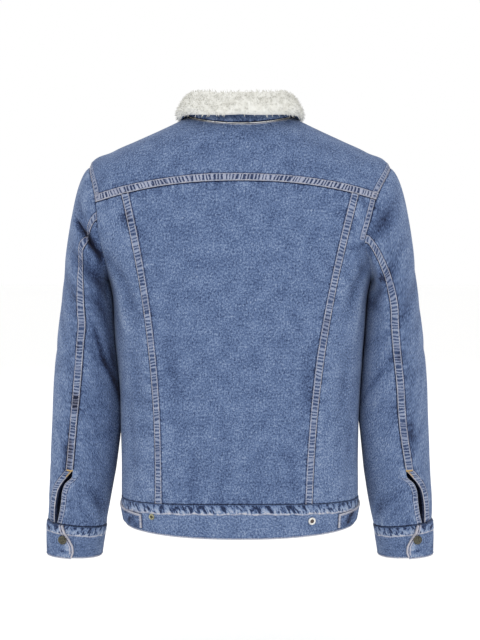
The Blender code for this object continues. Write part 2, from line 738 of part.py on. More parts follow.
def back_side(name, side, columns=6):
    cells = (SIDE_ROWS, BACK_ARMHOLE_ROWS)
    edge = armhole_run(side, ARMPIT_STATION, YOKE_STATION)
    outer = join((side_seam(side), edge), cells)
    slant = paced(slant_seam(side), cells)
    bottom = level_run(WAIST_LEVEL, side * math.pi / 2, slant[0, 0])
    top = yoke_seam(body(*edge[-1, :2])[0], body(*slant[-1, :2])[0])
    u, t = even_grid(columns, sum(cells))
    body_piece(name, patch(bottom, top, outer, slant, u, t), np.zeros(u.shape))


def back_yoke():
    edges = [armhole_run(side, YOKE_STATION, 0) for side in (1, -1)]
    bottom = yoke_seam(body(*edges[0][0, :2])[0], body(*edges[1][0, :2])[0])
    neck = level_run(NECK_LEVEL, SHOULDER_SEAM_TURN, -SHOULDER_SEAM_TURN)
    over = shoulder_seam(-1)
    over = measured(over[::-1, :2])
    cells = (SHOULDER_COLUMNS, NECK_COLUMNS, SHOULDER_COLUMNS)
    top = join((shoulder_seam(1), neck, over), cells)
    u = np.linspace(0, 1, sum(cells) + 1)
    heights = [path_length(straight_run(a, b)) for a, b in zip(along(bottom, u), along(top, u))]
    t, rise = spread(np.array(heights), YOKE_ROWS, True)
    t[[0, -1]] = np.linspace(0, 1, YOKE_STATION + 1)
    u = np.broadcast_to(u[:, None], t.shape).T
    rise = np.broadcast_to(rise[:, None], u.shape)
    body_piece("back_yoke", patch(bottom, top, edges[0], edges[1], u, t.T), rise)


def front(name, side, edge_x):
    cells = (SIDE_ROWS, sum(FRONT_ARMHOLE_ROWS))
    edge = armhole_run(side, ARMPIT_STATION, len(STATIONS[side]) - 1)
    outer = join((side_seam(side), edge), cells)
    z = np.linspace(RINGS[WAIST_LEVEL][6], RINGS[NECK_LEVEL][6] - 0.0005, 90)
    centre = on_front(np.full(90, edge_x), z, side)
    centre[0, 1], centre[-1, 1] = WAIST_LEVEL, NECK_LEVEL
    bottom = level_run(WAIST_LEVEL, side * math.pi / 2, centre[0, 0])
    neck = level_run(NECK_LEVEL, side * SHOULDER_SEAM_TURN, centre[-1, 0])
    top = join((shoulder_seam(side), neck), (SHOULDER_COLUMNS, FRONT_NECK_COLUMNS))
    u, t = even_grid(SHOULDER_COLUMNS + FRONT_NECK_COLUMNS, sum(cells))
    place = patch(bottom, top, outer, paced(measured(centre), cells), u, t, TOP_HOLD)
    body_piece(name, place, np.zeros(u.shape))


def front_band(rows=24):
    low, high = BAND_ENDS
    z = np.linspace(RINGS[WAIST_LEVEL][6] + low, RINGS[NECK_LEVEL][6] - high, rows + 1)
    x = np.linspace(-BAND_EDGE, BAND_EDGE + BAND_LAP, 3)
    xs, zs = np.meshgrid(x, z)
    place = on_front(xs, zs, 1)
    laid_piece("front_band", place, LAY_GAP, TRIM_WALL)


# ---------------------------------------------------------------- waistband and tabs
def eased(value, start, end):
    t = np.clip((value - start) / (end - start), 0, 1)
    return t * t * (3 - 2 * t)


def waistband(columns=64):
    turns = np.linspace(WAIST_UNDER_END, WAIST_OVER_END, columns + 1)
    lap = eased(turns, *WAIST_LAP_RAMP) * WAIST_LAP_RISE
    turn, level = np.meshgrid(turns, WAIST_ROWS)
    points, normals = body(turn, level), body_normal(turn, level)
    lift = (WAIST_RISE + lap)[None, :, None]
    outer = points + normals * lift
    wall("waistband", outer, outer - normals * BAND_WALL)


def waist_tab(name, side, columns=12):
    end = on_back(np.array([side * TAB_TO_X]), np.array([TAB_Z]))[0, 0]
    turns = np.linspace(side * TAB_FROM_TURN, end, columns + 1)
    share = np.linspace(0, 1, columns + 1)
    top = TAB_TOP - TAB_TAPER * share
    bottom = np.full(columns + 1, TAB_BOTTOM)
    place = np.stack([np.stack([turns, bottom + (top - bottom) * t], -1) for t in (0, 0.5, 1)])
    laid_piece(name, place, WAIST_RISE + LAY_GAP, TRIM_WALL)


# ---------------------------------------------------------------- sleeves and cuffs
def back_seam_around(side, down):
    return np.radians(read(BACK_SEAM, down)[..., 0 if side > 0 else 1])


def vent_edge(side, down, piece):
    """Around of a piece's edge at the back seam; piece is 0 for the upper and 1 for the under."""
    seam = back_seam_around(side, down)
    here = plain_sleeve(side, seam, down)
    below = np.clip(VENT_TOP_Z - here[..., 2], 0, VENT[-1][0])
    outward = read(VENT, below)[..., piece]
    arc = np.linalg.norm(plain_sleeve(side, seam + TINY, down) - here, axis=-1) / TINY
    return seam - outward / arc


def sleeve_piece(name, side, edge, far_edge, felled):
    """One piece of a sleeve, between the angles of its two edges in each row."""
    stations = np.concatenate([STATIONS[side] - 2 * math.pi, STATIONS[side]])
    low, high = sorted((edge[0], far_edge[0]))
    corners = np.unique(np.round(stations[(stations > low - TINY) & (stations < high + TINY)], 6))
    shares = np.sort((corners - edge[0]) / (far_edge[0] - edge[0]))
    shares[0], shares[-1] = 0, 1
    width = np.abs(far_edge - edge) * CREASE_SPAN
    u = np.broadcast_to(shares, (len(width), len(shares)))
    rise = np.zeros(len(shares))
    if felled:
        fell = np.array([FELL_WIDTH, FELL_WIDTH + FELL_SLOPE]) / width[:, None]
        u = np.hstack([u[:, :1], fell, u[:, 1:]])
        rise = np.concatenate([[FELL_RISE, FELL_RISE], rise])
    around = edge[:, None] + u * (far_edge - edge)[:, None]
    down = np.broadcast_to(SLEEVE_ROWS[:, None], around.shape)
    points = sleeve(side, around, down)
    inward = -sleeve_normal(sleeve, side, around, down)
    inward = np.where(down[..., None] <= 0, mitre(side, around), inward)
    outer = points - inward * (rise * np.clip(down, 0, 1))[..., None]
    outer, inner = mirrored(outer, side), mirrored(points + inward * WALL, side)
    wall(name, drawn_in(outer), drawn_in(inner))


def sleeves():
    for side, word in ((1, "left"), (-1, "right")):
        upper = vent_edge(side, SLEEVE_ROWS, 0)
        under = vent_edge(side, SLEEVE_ROWS, 1)
        front_edge = np.full(len(SLEEVE_ROWS), UNDER_SEAM)
        sleeve_piece(f"sleeve_upper_{word}", side, upper, front_edge - 2 * math.pi, True)
        sleeve_piece(f"sleeve_under_{word}", side, under, front_edge, False)


def cuff(name, side, columns=27):
    share = np.linspace(0, 1, len(CUFF_ROWS))
    ends = 2 * math.pi + np.radians(read(CUFF_LAP_EDGE, share)[:, 0])
    u = np.linspace(0, 1, columns + 1)
    around = CUFF_UNDER_START + (ends[:, None] - CUFF_UNDER_START) * u[None]
    down = np.broadcast_to(CUFF_ROWS[:, None], around.shape)
    lap = eased(around, 2 * math.pi, 2 * math.pi + CUFF_LAP_RAMP) * CUFF_LAP_RISE
    normals = tube_normal(around, down)
    outer = tube(around, down) + normals * (CUFF_RISE + lap)[..., None]
    wall(name, mirrored(outer, side), mirrored(outer - normals * BAND_WALL, side))


# ---------------------------------------------------------------- collar
def collar_line(turn):
    """Middle line of the folded under collar at one turn, from the neck seam to the leaf's edge."""
    turns = np.degrees(np.abs(turn))
    rise, lean, leaf_spread, drop = np.moveaxis(read(COLLAR, turns), -1, 0)
    point_turn = turn * (1 - COLLAR_POINT_SPREAD * np.abs(turn / math.pi) ** 3)
    seam = body(turn, np.full_like(turn, NECK_LEVEL))
    flat = [1, 1, 0]
    out = unit(body_normal(turn, np.full_like(turn, NECK_LEVEL)) * flat)
    tip_seam = body(point_turn, np.full_like(turn, NECK_LEVEL))
    tip_out = unit(body_normal(point_turn, np.full_like(turn, NECK_LEVEL)) * flat)
    up = np.array([0, 0, 1.0])
    top = seam - out * lean[:, None] + up * rise[:, None]
    fold = top + (out - up) * COLLAR_FOLD
    tip = tip_seam + tip_out * leaf_spread[:, None]
    tip[:, 2] = top[:, 2] - drop
    line = [seam + up * STAND_SEAT]
    stand_top = fold - out * COLLAR_FOLD
    line.append((line[0] + stand_top) / 2)
    for angle in np.radians((180, 130, 80, 30)):
        line.append(fold + COLLAR_FOLD * (out * math.cos(angle) + up * math.sin(angle)))
    leaf_start = line[-1]
    for share in (0.33, 0.67, 1.0):
        bow = LEAF_BOW * math.sin(math.pi * share)
        line.append(leaf_start + (tip - leaf_start) * share + out * bow)
    return np.stack(line, 1)


def collar(columns=32):
    turns = np.linspace(-COLLAR_END, COLLAR_END, columns + 1)
    line = collar_line(turns)
    by_turn = np.gradient(line, axis=0)
    by_line = np.gradient(line, axis=1)
    outward = unit(np.cross(by_turn, by_line))
    if outward[columns // 2, 4, 2] < 0:
        outward = -outward
    half = UNDER_COLLAR_HALF
    wall("collar_under", line + outward * half, line - outward * half)
    wall("collar_sherpa", line + outward * SHERPA_TO, line + outward * SHERPA_FROM, "sherpa")


# ---------------------------------------------------------------- buttons
def button(name, seat, normal, radius):
    """A tack button: a short shank under a domed cap."""
    height = BUTTON_SHANK + BUTTON_DOME * radius
    rim_low, rim_high = BUTTON_SHANK + 0.0004, height - 0.0004
    profile = (
        (0.0, 0.0003),
        (0.42 * radius, 0.0003),
        (0.42 * radius, BUTTON_SHANK),
        (0.95 * radius, rim_low),
        (radius, (rim_low + rim_high) / 2),
        (0.85 * radius, rim_high),
        (0.0, height),
    )
    shape = bmesh.new()
    verts = [shape.verts.new((r, 0, h)) for r, h in profile]
    edges = [shape.edges.new(pair) for pair in zip(verts, verts[1:])]
    bmesh.ops.spin(
        shape, geom=verts + edges, axis=(0, 0, 1), cent=(0, 0, 0), steps=12, angle=2 * math.pi
    )
    bmesh.ops.remove_doubles(shape, verts=shape.verts, dist=1e-6)
    bmesh.ops.recalc_face_normals(shape, faces=shape.faces)
    mesh = bpy.data.meshes.new(name)
    shape.to_mesh(mesh)
    shape.free()
    made = add_object(name, mesh, "button_metal")
    made.location = seat
    towards = unit(np.asarray(normal, float))
    made.rotation_euler = (math.acos(towards[2]), 0, math.atan2(towards[0], -towards[1]))
    return made


def buttons():
    for word, x, z, radius in WAIST_BUTTONS:
        turn, level = on_back(np.array([x]), np.array([z]))[0]
        normal = body_normal(turn, level)
        seat = body(turn, level) + normal * WAIST_RISE
        button(f"waist_button_{word}", seat, normal, radius)
    for side, word in ((1, "left"), (-1, "right")):
        around = np.array(CUFF_BUTTON_AROUND)
        down = np.array(CUFF_BUTTON_DOWN)
        normal = mirrored(tube_normal(around, down), side)
        seat = mirrored(tube(around, down), side) + normal * (CUFF_RISE + CUFF_LAP_RISE)
        button(f"cuff_button_{word}", seat, normal, CUFF_BUTTON_RADIUS)
    for number, z in enumerate(FRONT_BUTTON_Z, 1):
        turn, level = on_front(np.array([0.0]), np.array([z]), 1)[0]
        normal = body_normal(turn, level)
        on_waistband = number == len(FRONT_BUTTON_Z)
        lift = WAIST_RISE + WAIST_LAP_RISE if on_waistband else LAY_GAP + TRIM_WALL
        seat = body(turn, level) + normal * lift
        button(f"front_button_{number}", seat, normal, FRONT_BUTTON_RADIUS)


# ---------------------------------------------------------------- the jacket
def main():
    for item in list(bpy.data.objects):
        bpy.data.objects.remove(item, do_unlink=True)
    back_yoke()
    back_centre()
    back_side("back_side_left", 1)
    back_side("back_side_right", -1)
    front("front_left", 1, LEFT_EDGE)
    front("front_right", -1, RIGHT_EDGE)
    front_band()
    waistband()
    waist_tab("waist_tab_left", 1)
    waist_tab("waist_tab_right", -1)
    sleeves()
    cuff("cuff_left", 1)
    cuff("cuff_right", -1)
    collar()
    buttons()


main()
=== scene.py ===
import math

import bpy
import numpy as np
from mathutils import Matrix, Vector


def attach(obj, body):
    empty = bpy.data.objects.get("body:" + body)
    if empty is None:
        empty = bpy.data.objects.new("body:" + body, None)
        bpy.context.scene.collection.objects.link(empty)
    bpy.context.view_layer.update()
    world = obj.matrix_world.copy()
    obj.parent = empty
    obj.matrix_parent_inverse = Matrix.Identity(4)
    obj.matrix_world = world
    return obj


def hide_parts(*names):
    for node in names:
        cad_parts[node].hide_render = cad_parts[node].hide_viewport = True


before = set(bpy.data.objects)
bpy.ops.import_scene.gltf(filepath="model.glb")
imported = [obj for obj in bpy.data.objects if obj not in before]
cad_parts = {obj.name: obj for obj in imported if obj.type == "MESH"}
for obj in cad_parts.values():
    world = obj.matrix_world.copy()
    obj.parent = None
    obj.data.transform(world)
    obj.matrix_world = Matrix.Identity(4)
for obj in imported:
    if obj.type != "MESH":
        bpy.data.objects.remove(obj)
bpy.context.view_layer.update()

# ---------------------------------------------------------------- sizes shared with the solids
WALL = 0.004
BAND_WALL = 0.0042
TRIM_WALL = 0.0026
SEAM_EASE = 0.00015
LAY_GAP = 0.0005
FELL_WIDTH = 0.011
FELL_RISE = 0.0012
RINGS = (
    # level, side_x, side_z, back_y, back_z, front_y, front_z, square
    (0, 0.1845, -0.6425, 0.116, -0.6495, 0.114, -0.6455, 2.5),
    (1, 0.191, -0.600, 0.124, -0.592, 0.120, -0.590, 2.3),
    (2, 0.191, -0.530, 0.127, -0.526, 0.122, -0.522, 2.3),
    (3, 0.193, -0.440, 0.129, -0.438, 0.124, -0.434, 2.3),
    (4, 0.200, -0.335, 0.131, -0.335, 0.126, -0.330, 2.4),
    (5, 0.209, -0.250, 0.132, -0.250, 0.127, -0.246, 2.5),
    (6, 0.247, -0.160, 0.128, -0.168, 0.120, -0.180, 2.6),
    (7, 0.238, -0.0715, 0.113, -0.100, 0.110, -0.136, 2.4),
    (8, 0.201, -0.0475, 0.102, -0.063, 0.103, -0.114, 2.3),
    (9, 0.160, -0.0287, 0.091, -0.035, 0.098, -0.100, 2.2),
    (10, 0.120, -0.0105, 0.080, -0.014, 0.094, -0.088, 2.1),
    (11, 0.082, 0.008, 0.068, -0.001, 0.090, -0.078, 2.0),
)
WAIST_LEVEL, ARMPIT_LEVEL, NECK_LEVEL = 1, 5, 11
ARMHOLE_MIDDLE_Z = -0.161
ARMHOLE_HALF_HEIGHT = 0.0895
ARMHOLE_BACK = {1: 0.074, -1: 0.088}
ARMHOLE_FRONT = 0.070
ARMHOLE_SWELL = {1: 0.0, -1: 0.0095}
ARMHOLE_SWELL_AROUND, ARMHOLE_SWELL_WIDTH = math.radians(110), math.radians(23)
YOKE_Z, YOKE_DROP, YOKE_REACH, YOKE_CURVE = -0.089, 0.033, 0.219, 2.3
SHOULDER_SEAM_AROUND = math.radians(-18)
SHOULDER_SEAM_TURN = math.radians(106)
SLANT_TOP, SLANT_BOTTOM, SLANT_CURVE, SLANT_FOOT_Z = 0.1835, 0.1235, 2.1, -0.594
DRIFT, DRIFT_FROM_Z, DRIFT_TO_Z = 0.010, -0.120, -0.592
BAND_EDGE, BAND_LAP, BAND_ENDS = 0.019, 0.008, (0.001, 0.0035)
LEFT_EDGE, RIGHT_EDGE = 0.0193, 0.0170
FRONT_BUTTON_Z = (-0.128, -0.235, -0.342, -0.448, -0.555, -0.6175)
TUBE = (
    # down, z, outer_x, inner_x, middle_y, half_depth, tilt, square
    (1, -0.300, 0.2880, 0.2045, 0.000, 0.080, 0.000, 2.1),
    (2, -0.350, 0.2945, 0.1998, -0.002, 0.076, 0.000, 2.1),
    (3, -0.413, 0.3005, 0.1956, -0.006, 0.069, 0.000, 2.1),
    (4, -0.479, 0.3048, 0.1933, -0.012, 0.062, 0.001, 2.1),
    (5, -0.545, 0.3090, 0.1998, -0.019, 0.056, 0.002, 2.1),
    (6, -0.580, 0.3110, 0.2055, -0.023, 0.053, 0.003, 2.1),
    (7, -0.615, 0.3135, 0.2118, -0.027, 0.050, 0.004, 2.1),
    (8, -0.650, 0.3145, 0.2190, -0.030, 0.045, 0.005, 2.1),
    (9, -0.678, 0.3155, 0.2235, -0.031, 0.043, 0.004, 2.1),
    (10, -0.704, 0.3150, 0.2275, -0.032, 0.042, 0.002, 2.1),
)
CUFF_DOWN, CUFF_END = 8, 10
LEAVE = (
    # around, pull, tilt
    (0, 0.112, 36),
    (45, 0.084, 42),
    (90, 0.048, 50),
    (135, 0.034, 74),
    (180, 0.024, 86),
    (225, 0.034, 74),
    (270, 0.048, 50),
    (315, 0.084, 42),
    (360, 0.112, 36),
)
ARRIVE = 0.85
BACK_SEAM = (
    # down, around left, around right
    (0, 84, 106),
    (0.5, 86, 103),
    (1, 95, 104),
    (2, 92, 99),
    (3, 86, 91),
    (4, 79, 86),
    (5, 77, 80),
    (8, 72, 74),
)
UNDER_SEAM = math.radians(215)
VENT = (
    # below its top, upper piece, under piece
    (0.000, 0.000, 0.000),
    (0.013, 0.009, 0.001),
    (0.022, 0.015, 0.009),
    (0.034, 0.021, 0.013),
    (0.055, 0.024, 0.013),
    (0.075, 0.024, 0.014),
    (0.095, 0.021, 0.017),
)
VENT_TOP_Z = -0.555
LEFT_CREASES = (
    # around, z, around, z, depth, width
    (40, -0.140, 140, -0.222, 0.0075, 0.011),
    (62, -0.205, 150, -0.262, 0.0045, 0.012),
    (20, -0.235, 88, -0.300, 0.0030, 0.014),
    (320, -0.150, 215, -0.232, 0.0070, 0.012),
    (300, -0.262, 225, -0.300, 0.0040, 0.013),
    (235, -0.425, 330, -0.395, 0.0050, 0.014),
    (225, -0.470, 325, -0.465, 0.0040, 0.013),
    (60, -0.420, 110, -0.452, 0.0020, 0.013),
    (105, -0.585, 160, -0.628, 0.0028, 0.009),
    (200, -0.600, 290, -0.622, 0.0030, 0.010),
)
RIGHT_CREASES = (
    # around, z, around, z, depth, width
    (48, -0.134, 138, -0.208, 0.0055, 0.013),
    (78, -0.224, 148, -0.276, 0.0050, 0.011),
    (24, -0.246, 92, -0.316, 0.0028, 0.014),
    (318, -0.156, 218, -0.240, 0.0062, 0.012),
    (302, -0.270, 228, -0.306, 0.0040, 0.013),
    (232, -0.418, 318, -0.388, 0.0036, 0.015),
    (228, -0.486, 316, -0.478, 0.0030, 0.014),
    (62, -0.434, 112, -0.462, 0.0022, 0.013),
    (100, -0.592, 154, -0.632, 0.0028, 0.009),
    (206, -0.604, 284, -0.624, 0.0030, 0.010),
)
# Smaller folds beside the creases; a negative depth is a ridge.
LEFT_FOLDS = (
    # around, z, around, z, depth, width
    (44, -0.118, 120, -0.186, -0.0026, 0.009),
    (66, -0.172, 150, -0.236, -0.0030, 0.008),
    (30, -0.182, 84, -0.236, 0.0018, 0.007),
    (96, -0.262, 150, -0.300, 0.0022, 0.008),
    (10, -0.282, 66, -0.352, 0.0016, 0.010),
    (350, -0.215, 395, -0.300, 0.0014, 0.010),
    (340, -0.330, 392, -0.385, 0.0014, 0.010),
    (18, -0.396, 76, -0.362, 0.0013, 0.009),
    (96, -0.352, 150, -0.388, 0.0016, 0.008),
    (30, -0.470, 92, -0.500, 0.0013, 0.009),
    (100, -0.500, 160, -0.486, 0.0014, 0.008),
    (8, -0.548, 56, -0.566, 0.0012, 0.008),
    (84, -0.604, 118, -0.640, 0.0016, 0.005),
    (120, -0.596, 150, -0.640, 0.0016, 0.006),
    (12, -0.618, 40, -0.640, 0.0010, 0.006),
    (262, -0.186, 330, -0.176, -0.0024, 0.009),
    (240, -0.276, 330, -0.228, 0.0020, 0.009),
    (250, -0.350, 320, -0.338, 0.0018, 0.010),
    (246, -0.445, 318, -0.430, -0.0020, 0.008),
    (250, -0.540, 330, -0.552, 0.0018, 0.010),
    (250, -0.588, 300, -0.640, 0.0014, 0.006),
)
RIGHT_FOLDS = (
    # around, z, around, z, depth, width
    (40, -0.112, 128, -0.176, -0.0020, 0.010),
    (70, -0.166, 150, -0.236, -0.0026, 0.009),
    (26, -0.176, 80, -0.214, 0.0016, 0.008),
    (92, -0.246, 156, -0.262, -0.0020, 0.007),
    (8, -0.290, 60, -0.336, 0.0015, 0.010),
    (346, -0.206, 398, -0.272, 0.0014, 0.011),
    (344, -0.352, 398, -0.372, 0.0013, 0.010),
    (22, -0.384, 82, -0.402, 0.0014, 0.009),
    (100, -0.330, 154, -0.352, 0.0016, 0.008),
    (34, -0.486, 96, -0.522, 0.0013, 0.009),
    (98, -0.478, 152, -0.498, 0.0014, 0.009),
    (10, -0.540, 62, -0.570, 0.0012, 0.008),
    (88, -0.608, 122, -0.640, 0.0016, 0.005),
    (124, -0.590, 154, -0.638, 0.0015, 0.006),
    (14, -0.612, 46, -0.640, 0.0010, 0.006),
    (258, -0.192, 326, -0.186, -0.0022, 0.009),
    (244, -0.286, 326, -0.244, 0.0018, 0.010),
    (252, -0.356, 322, -0.346, 0.0017, 0.010),
    (242, -0.452, 312, -0.444, -0.0018, 0.009),
    (248, -0.546, 326, -0.560, 0.0017, 0.010),
    (252, -0.592, 302, -0.638, 0.0014, 0.006),
)
CREASES = {1: LEFT_CREASES + LEFT_FOLDS, -1: RIGHT_CREASES + RIGHT_FOLDS}
CREASE_SPAN = 0.060
CREASE_FADES = (0.25, 0.7)
CUFF_RISE, CUFF_LAP_RISE = 0.0010, 0.0052
CUFF_UNDER_START = math.radians(44)
CUFF_LAP_EDGE = (
    # share of the way down the cuff, around past a full turn in degrees
    (0.0, 67),
    (0.2, 72),
    (0.5, 87),
    (0.8, 91),
    (1.0, 87),
)
CUFF_LAP_RAMP, CUFF_STEPS = math.radians(38), 6
CUFF_BUTTON_AROUND, CUFF_BUTTON_DOWN = math.radians(70), 8.82
CUFF_BUTTON_RADIUS = 0.0074
WAIST_RISE, WAIST_LAP_RISE = 0.0012, 0.0050
WAIST_TOP_LEVEL = 0.992
WAIST_UNDER_END, WAIST_OVER_END = -3.257, 3.271
WAIST_LAP_RAMP = (2.80, 2.96)
TAB_FROM_TURN, TAB_TO_X, TAB_Z = math.radians(104), 0.155, -0.62
TAB_TOP, TAB_TAPER, TAB_BOTTOM = 0.86, 0.22, 0.14
WAIST_BUTTONS = (
    # side, x, z, radius
    ("left", 0.138, -0.6175, 0.0050),
    ("right", -0.112, -0.6215, 0.0062),
)
FRONT_BUTTON_RADIUS = 0.0085
COLLAR = (
    # turn, rise of the fold, lean of the stand, spread of the leaf, drop of the leaf
    (0, 0.0405, 0.008, 0.016, 0.0275),
    (60, 0.0345, 0.010, 0.015, 0.0295),
    (90, 0.029, 0.012, 0.012, 0.0325),
    (103, 0.029, 0.010, 0.016, 0.0335),
    (115, 0.030, 0.006, 0.024, 0.035),
    (140, 0.030, 0.006, 0.040, 0.046),
    (158, 0.028, 0.005, 0.030, 0.062),
    (180, 0.026, 0.004, 0.022, 0.070),
)
COLLAR_END = math.radians(173)
COLLAR_FOLD, COLLAR_POINT_SPREAD, LEAF_BOW = 0.0035, 0.10, 0.004
UNDER_COLLAR_HALF, STAND_SEAT = 0.0012, 0.0008
SHERPA_FROM = 0.0016
TINY = 1e-4
PACE_Z, TOP_HOLD = -0.262, 6
BACK_RADIUS, FRONT_RADIUS, SIDE_RADIUS = 0.26, 0.20, 0.15
SHOULDER_CELLS, NECK_CELLS, FRONT_NECK_CELLS = 5, 14, 8
FINE = 10  # corners on an armhole's edge for each of the solids' corners
ARMHOLE_CELLS = {1: (5, 1, 1, 2, 5, 2, 7), -1: (5, 1, 1, 3, 4, 2, 7)}
YOKE_STATION, ARMPIT_STATION = 7 * FINE, 14 * FINE


# ---------------------------------------------------------------- tables and small helpers
def read(table, at):
    """Smooth values of a table's other columns at any place along its first."""
    table = np.asarray(table, float)
    keys, values = table[:, 0], table[:, 1:]
    at = np.asarray(at, float)
    step = np.diff(keys)[:, None]
    slope = np.diff(values, axis=0) / step
    middle = (slope[:-1] * step[1:] + slope[1:] * step[:-1]) / (step[1:] + step[:-1])
    tangent = np.vstack([slope[:1], middle, slope[-1:]])
    i = np.clip(np.searchsorted(keys, at, side="right") - 1, 0, len(keys) - 2)
    width = (keys[i + 1] - keys[i])[..., None]
    t = (at - keys[i])[..., None] / width
    rest = 1 - t
    return (
        values[i] * rest**2 * (1 + 2 * t)
        + values[i + 1] * t**2 * (3 - 2 * t)
        + tangent[i] * width * t * rest**2
        - tangent[i + 1] * width * t**2 * rest
    )


def unit(vectors):
    return vectors / np.maximum(np.linalg.norm(vectors, axis=-1, keepdims=True), 1e-12)


def smooth(value, start, end):
    t = np.clip((value - start) / (end - start), 0, 1)
    return t * t * (3 - 2 * t)


def noise(x, y, seed):
    """Smooth noise from -1 to 1 with one bump to each unit."""
    table = np.random.default_rng(seed).random((97, 97)) * 2 - 1
    x, y = np.broadcast_arrays(np.asarray(x, float), np.asarray(y, float))
    i, j = np.floor(x).astype(int), np.floor(y).astype(int)
    s, t = x - i, y - j
    s, t = s * s * (3 - 2 * s), t * t * (3 - 2 * t)
    low = table[i % 97, j % 97] * (1 - s) + table[(i + 1) % 97, j % 97] * s
    high = table[i % 97, (j + 1) % 97] * (1 - s) + table[(i + 1) % 97, (j + 1) % 97] * s
    return low * (1 - t) + high * t


def outline_reach(turn, square):
    return (np.abs(np.sin(turn)) ** square + np.abs(np.cos(turn)) ** square) ** (-1 / square)


# ---------------------------------------------------------------- the body's surface
def body(turn, level):
    turn, level = np.broadcast_arrays(turn, level)
    side_x, side_z, back_y, back_z, front_y, front_z, square = np.moveaxis(read(RINGS, level), -1, 0)
    reach = outline_reach(turn, square)
    across, along = reach * np.sin(turn), reach * np.cos(turn)
    behind = along > 0
    end_z = np.where(behind, back_z, front_z)
    y = along * np.where(behind, back_y, front_y)
    return np.stack([side_x * across, y, end_z + (side_z - end_z) * across**2], -1)


def body_normal(turn, level):
    by_turn = body(turn + TINY, level) - body(turn - TINY, level)
    by_level = body(turn, level + TINY) - body(turn, level - TINY)
    return unit(np.cross(by_level, by_turn))


def on_body(wanted, axes, turn, level):
    turn, level = np.array(turn, float), np.array(level, float)
    for _ in range(25):
        here = body(turn, level)
        by_turn = (body(turn + TINY, level) - here) / TINY
        by_level = (body(turn, level + TINY) - here) / TINY
        miss = [wanted[k] - here[..., axis] for k, axis in enumerate(axes)]
        a, b = by_turn[..., axes[0]], by_level[..., axes[0]]
        c, d = by_turn[..., axes[1]], by_level[..., axes[1]]
        size = a * d - b * c
        turn += np.clip((d * miss[0] - b * miss[1]) / size, -0.2, 0.2)
        level += np.clip((a * miss[1] - c * miss[0]) / size, -0.5, 0.5)
    return np.stack([turn, level], -1)


def level_near(z, column):
    rows = np.asarray(RINGS)
    return np.interp(z, rows[:, column], rows[:, 0])


def on_back(x, z):
    turn = np.arcsin(np.clip(np.asarray(x) / BACK_RADIUS, -0.9, 0.9))
    return on_body((x, z), (0, 2), turn, level_near(z, 4))


def on_front(x, z, side):
    turn = side * math.pi - np.asarray(x) / FRONT_RADIUS
    return on_body((x, z), (0, 2), turn, level_near(z, 6))


def armhole_depth(around, side):
    off = (around - ARMHOLE_SWELL_AROUND) / ARMHOLE_SWELL_WIDTH
    back = ARMHOLE_BACK[side] + ARMHOLE_SWELL[side] * np.exp(-(off**2))
    return np.where(np.sin(around) > 0, back, ARMHOLE_FRONT)


def armhole(around, side):
    around = np.asarray(around, float)
    y = armhole_depth(around, side) * np.sin(around)
    z = ARMHOLE_MIDDLE_Z + ARMHOLE_HALF_HEIGHT * np.cos(around)
    place = on_body((y, z), (1, 2), math.pi / 2 - y / SIDE_RADIUS, level_near(z, 2))
    place[..., 0] *= side
    return place


# ---------------------------------------------------------------- the sleeve's surface, made on the left
def mirrored(points, side):
    return points * np.array([side, 1, 1])


def yoke_z(x):
    return YOKE_Z - YOKE_DROP * (np.abs(x) / YOKE_REACH) ** YOKE_CURVE


def yoke_meets_armhole(side):
    around = np.radians(np.linspace(20, 110, 400))
    points = body(*np.moveaxis(armhole(around, side), -1, 0))
    return around[np.argmin(np.abs(points[:, 2] - yoke_z(points[:, 0])))]


def armhole_stations(side):
    arc = (ARMHOLE_BACK[side] + ARMHOLE_HALF_HEIGHT) / 2
    yoke = yoke_meets_armhole(side)
    fell = yoke - FELL_WIDTH / arc
    slope = fell - 0.0015 / arc
    back_seam = math.radians(BACK_SEAM[0][1 if side > 0 else 2])
    end = 2 * math.pi + SHOULDER_SEAM_AROUND
    stops = (SHOULDER_SEAM_AROUND, slope, fell, yoke, back_seam, math.pi, UNDER_SEAM, end)
    runs = [
        np.linspace(a, b, cells * FINE + 1)[:-1]
        for a, b, cells in zip(stops, stops[1:], ARMHOLE_CELLS[side])
    ]
    return np.concatenate(runs + [[end]])


STATIONS = {side: armhole_stations(side) for side in (1, -1)}


def edge_frame(side):
    place = armhole(STATIONS[side], side) * [side, 1]
    points = body(place[:, 0], place[:, 1])
    normals = body_normal(place[:, 0], place[:, 1])
    last = len(points) - 1
    run = points[np.r_[1 : last + 1, 1]] - points[np.r_[last - 1, 0:last]]
    return np.hstack([points, normals, unit(np.cross(run, normals))])


EDGES = {side: edge_frame(side) for side in (1, -1)}


def read_edge(side, around):
    around = np.mod(around - SHOULDER_SEAM_AROUND, 2 * math.pi) + SHOULDER_SEAM_AROUND
    found = np.stack([np.interp(around, STATIONS[side], column) for column in EDGES[side].T], -1)
    return found[..., :3], unit(found[..., 3:6]), unit(found[..., 6:])


def leaving(around):
    pull, tilt = np.moveaxis(read(LEAVE, np.degrees(np.mod(around, 2 * math.pi))), -1, 0)
    return pull[..., None], np.radians(tilt)[..., None]


def tube(around, down):
    z, outer_x, inner_x, middle_y, half_depth, tilt, square = np.moveaxis(read(TUBE, down), -1, 0)
    reach = outline_reach(around, square)
    out = reach * np.cos(around)
    x = (outer_x + inner_x) / 2 + (outer_x - inner_x) / 2 * out
    return np.stack([x, middle_y + half_depth * reach * np.sin(around), z + tilt * out], -1)


def tube_normal(around, down):
    by_around = tube(around + TINY, down) - tube(around - TINY, down)
    by_down = tube(around, down + TINY) - tube(around, down - TINY)
    return unit(np.cross(by_down, by_around))


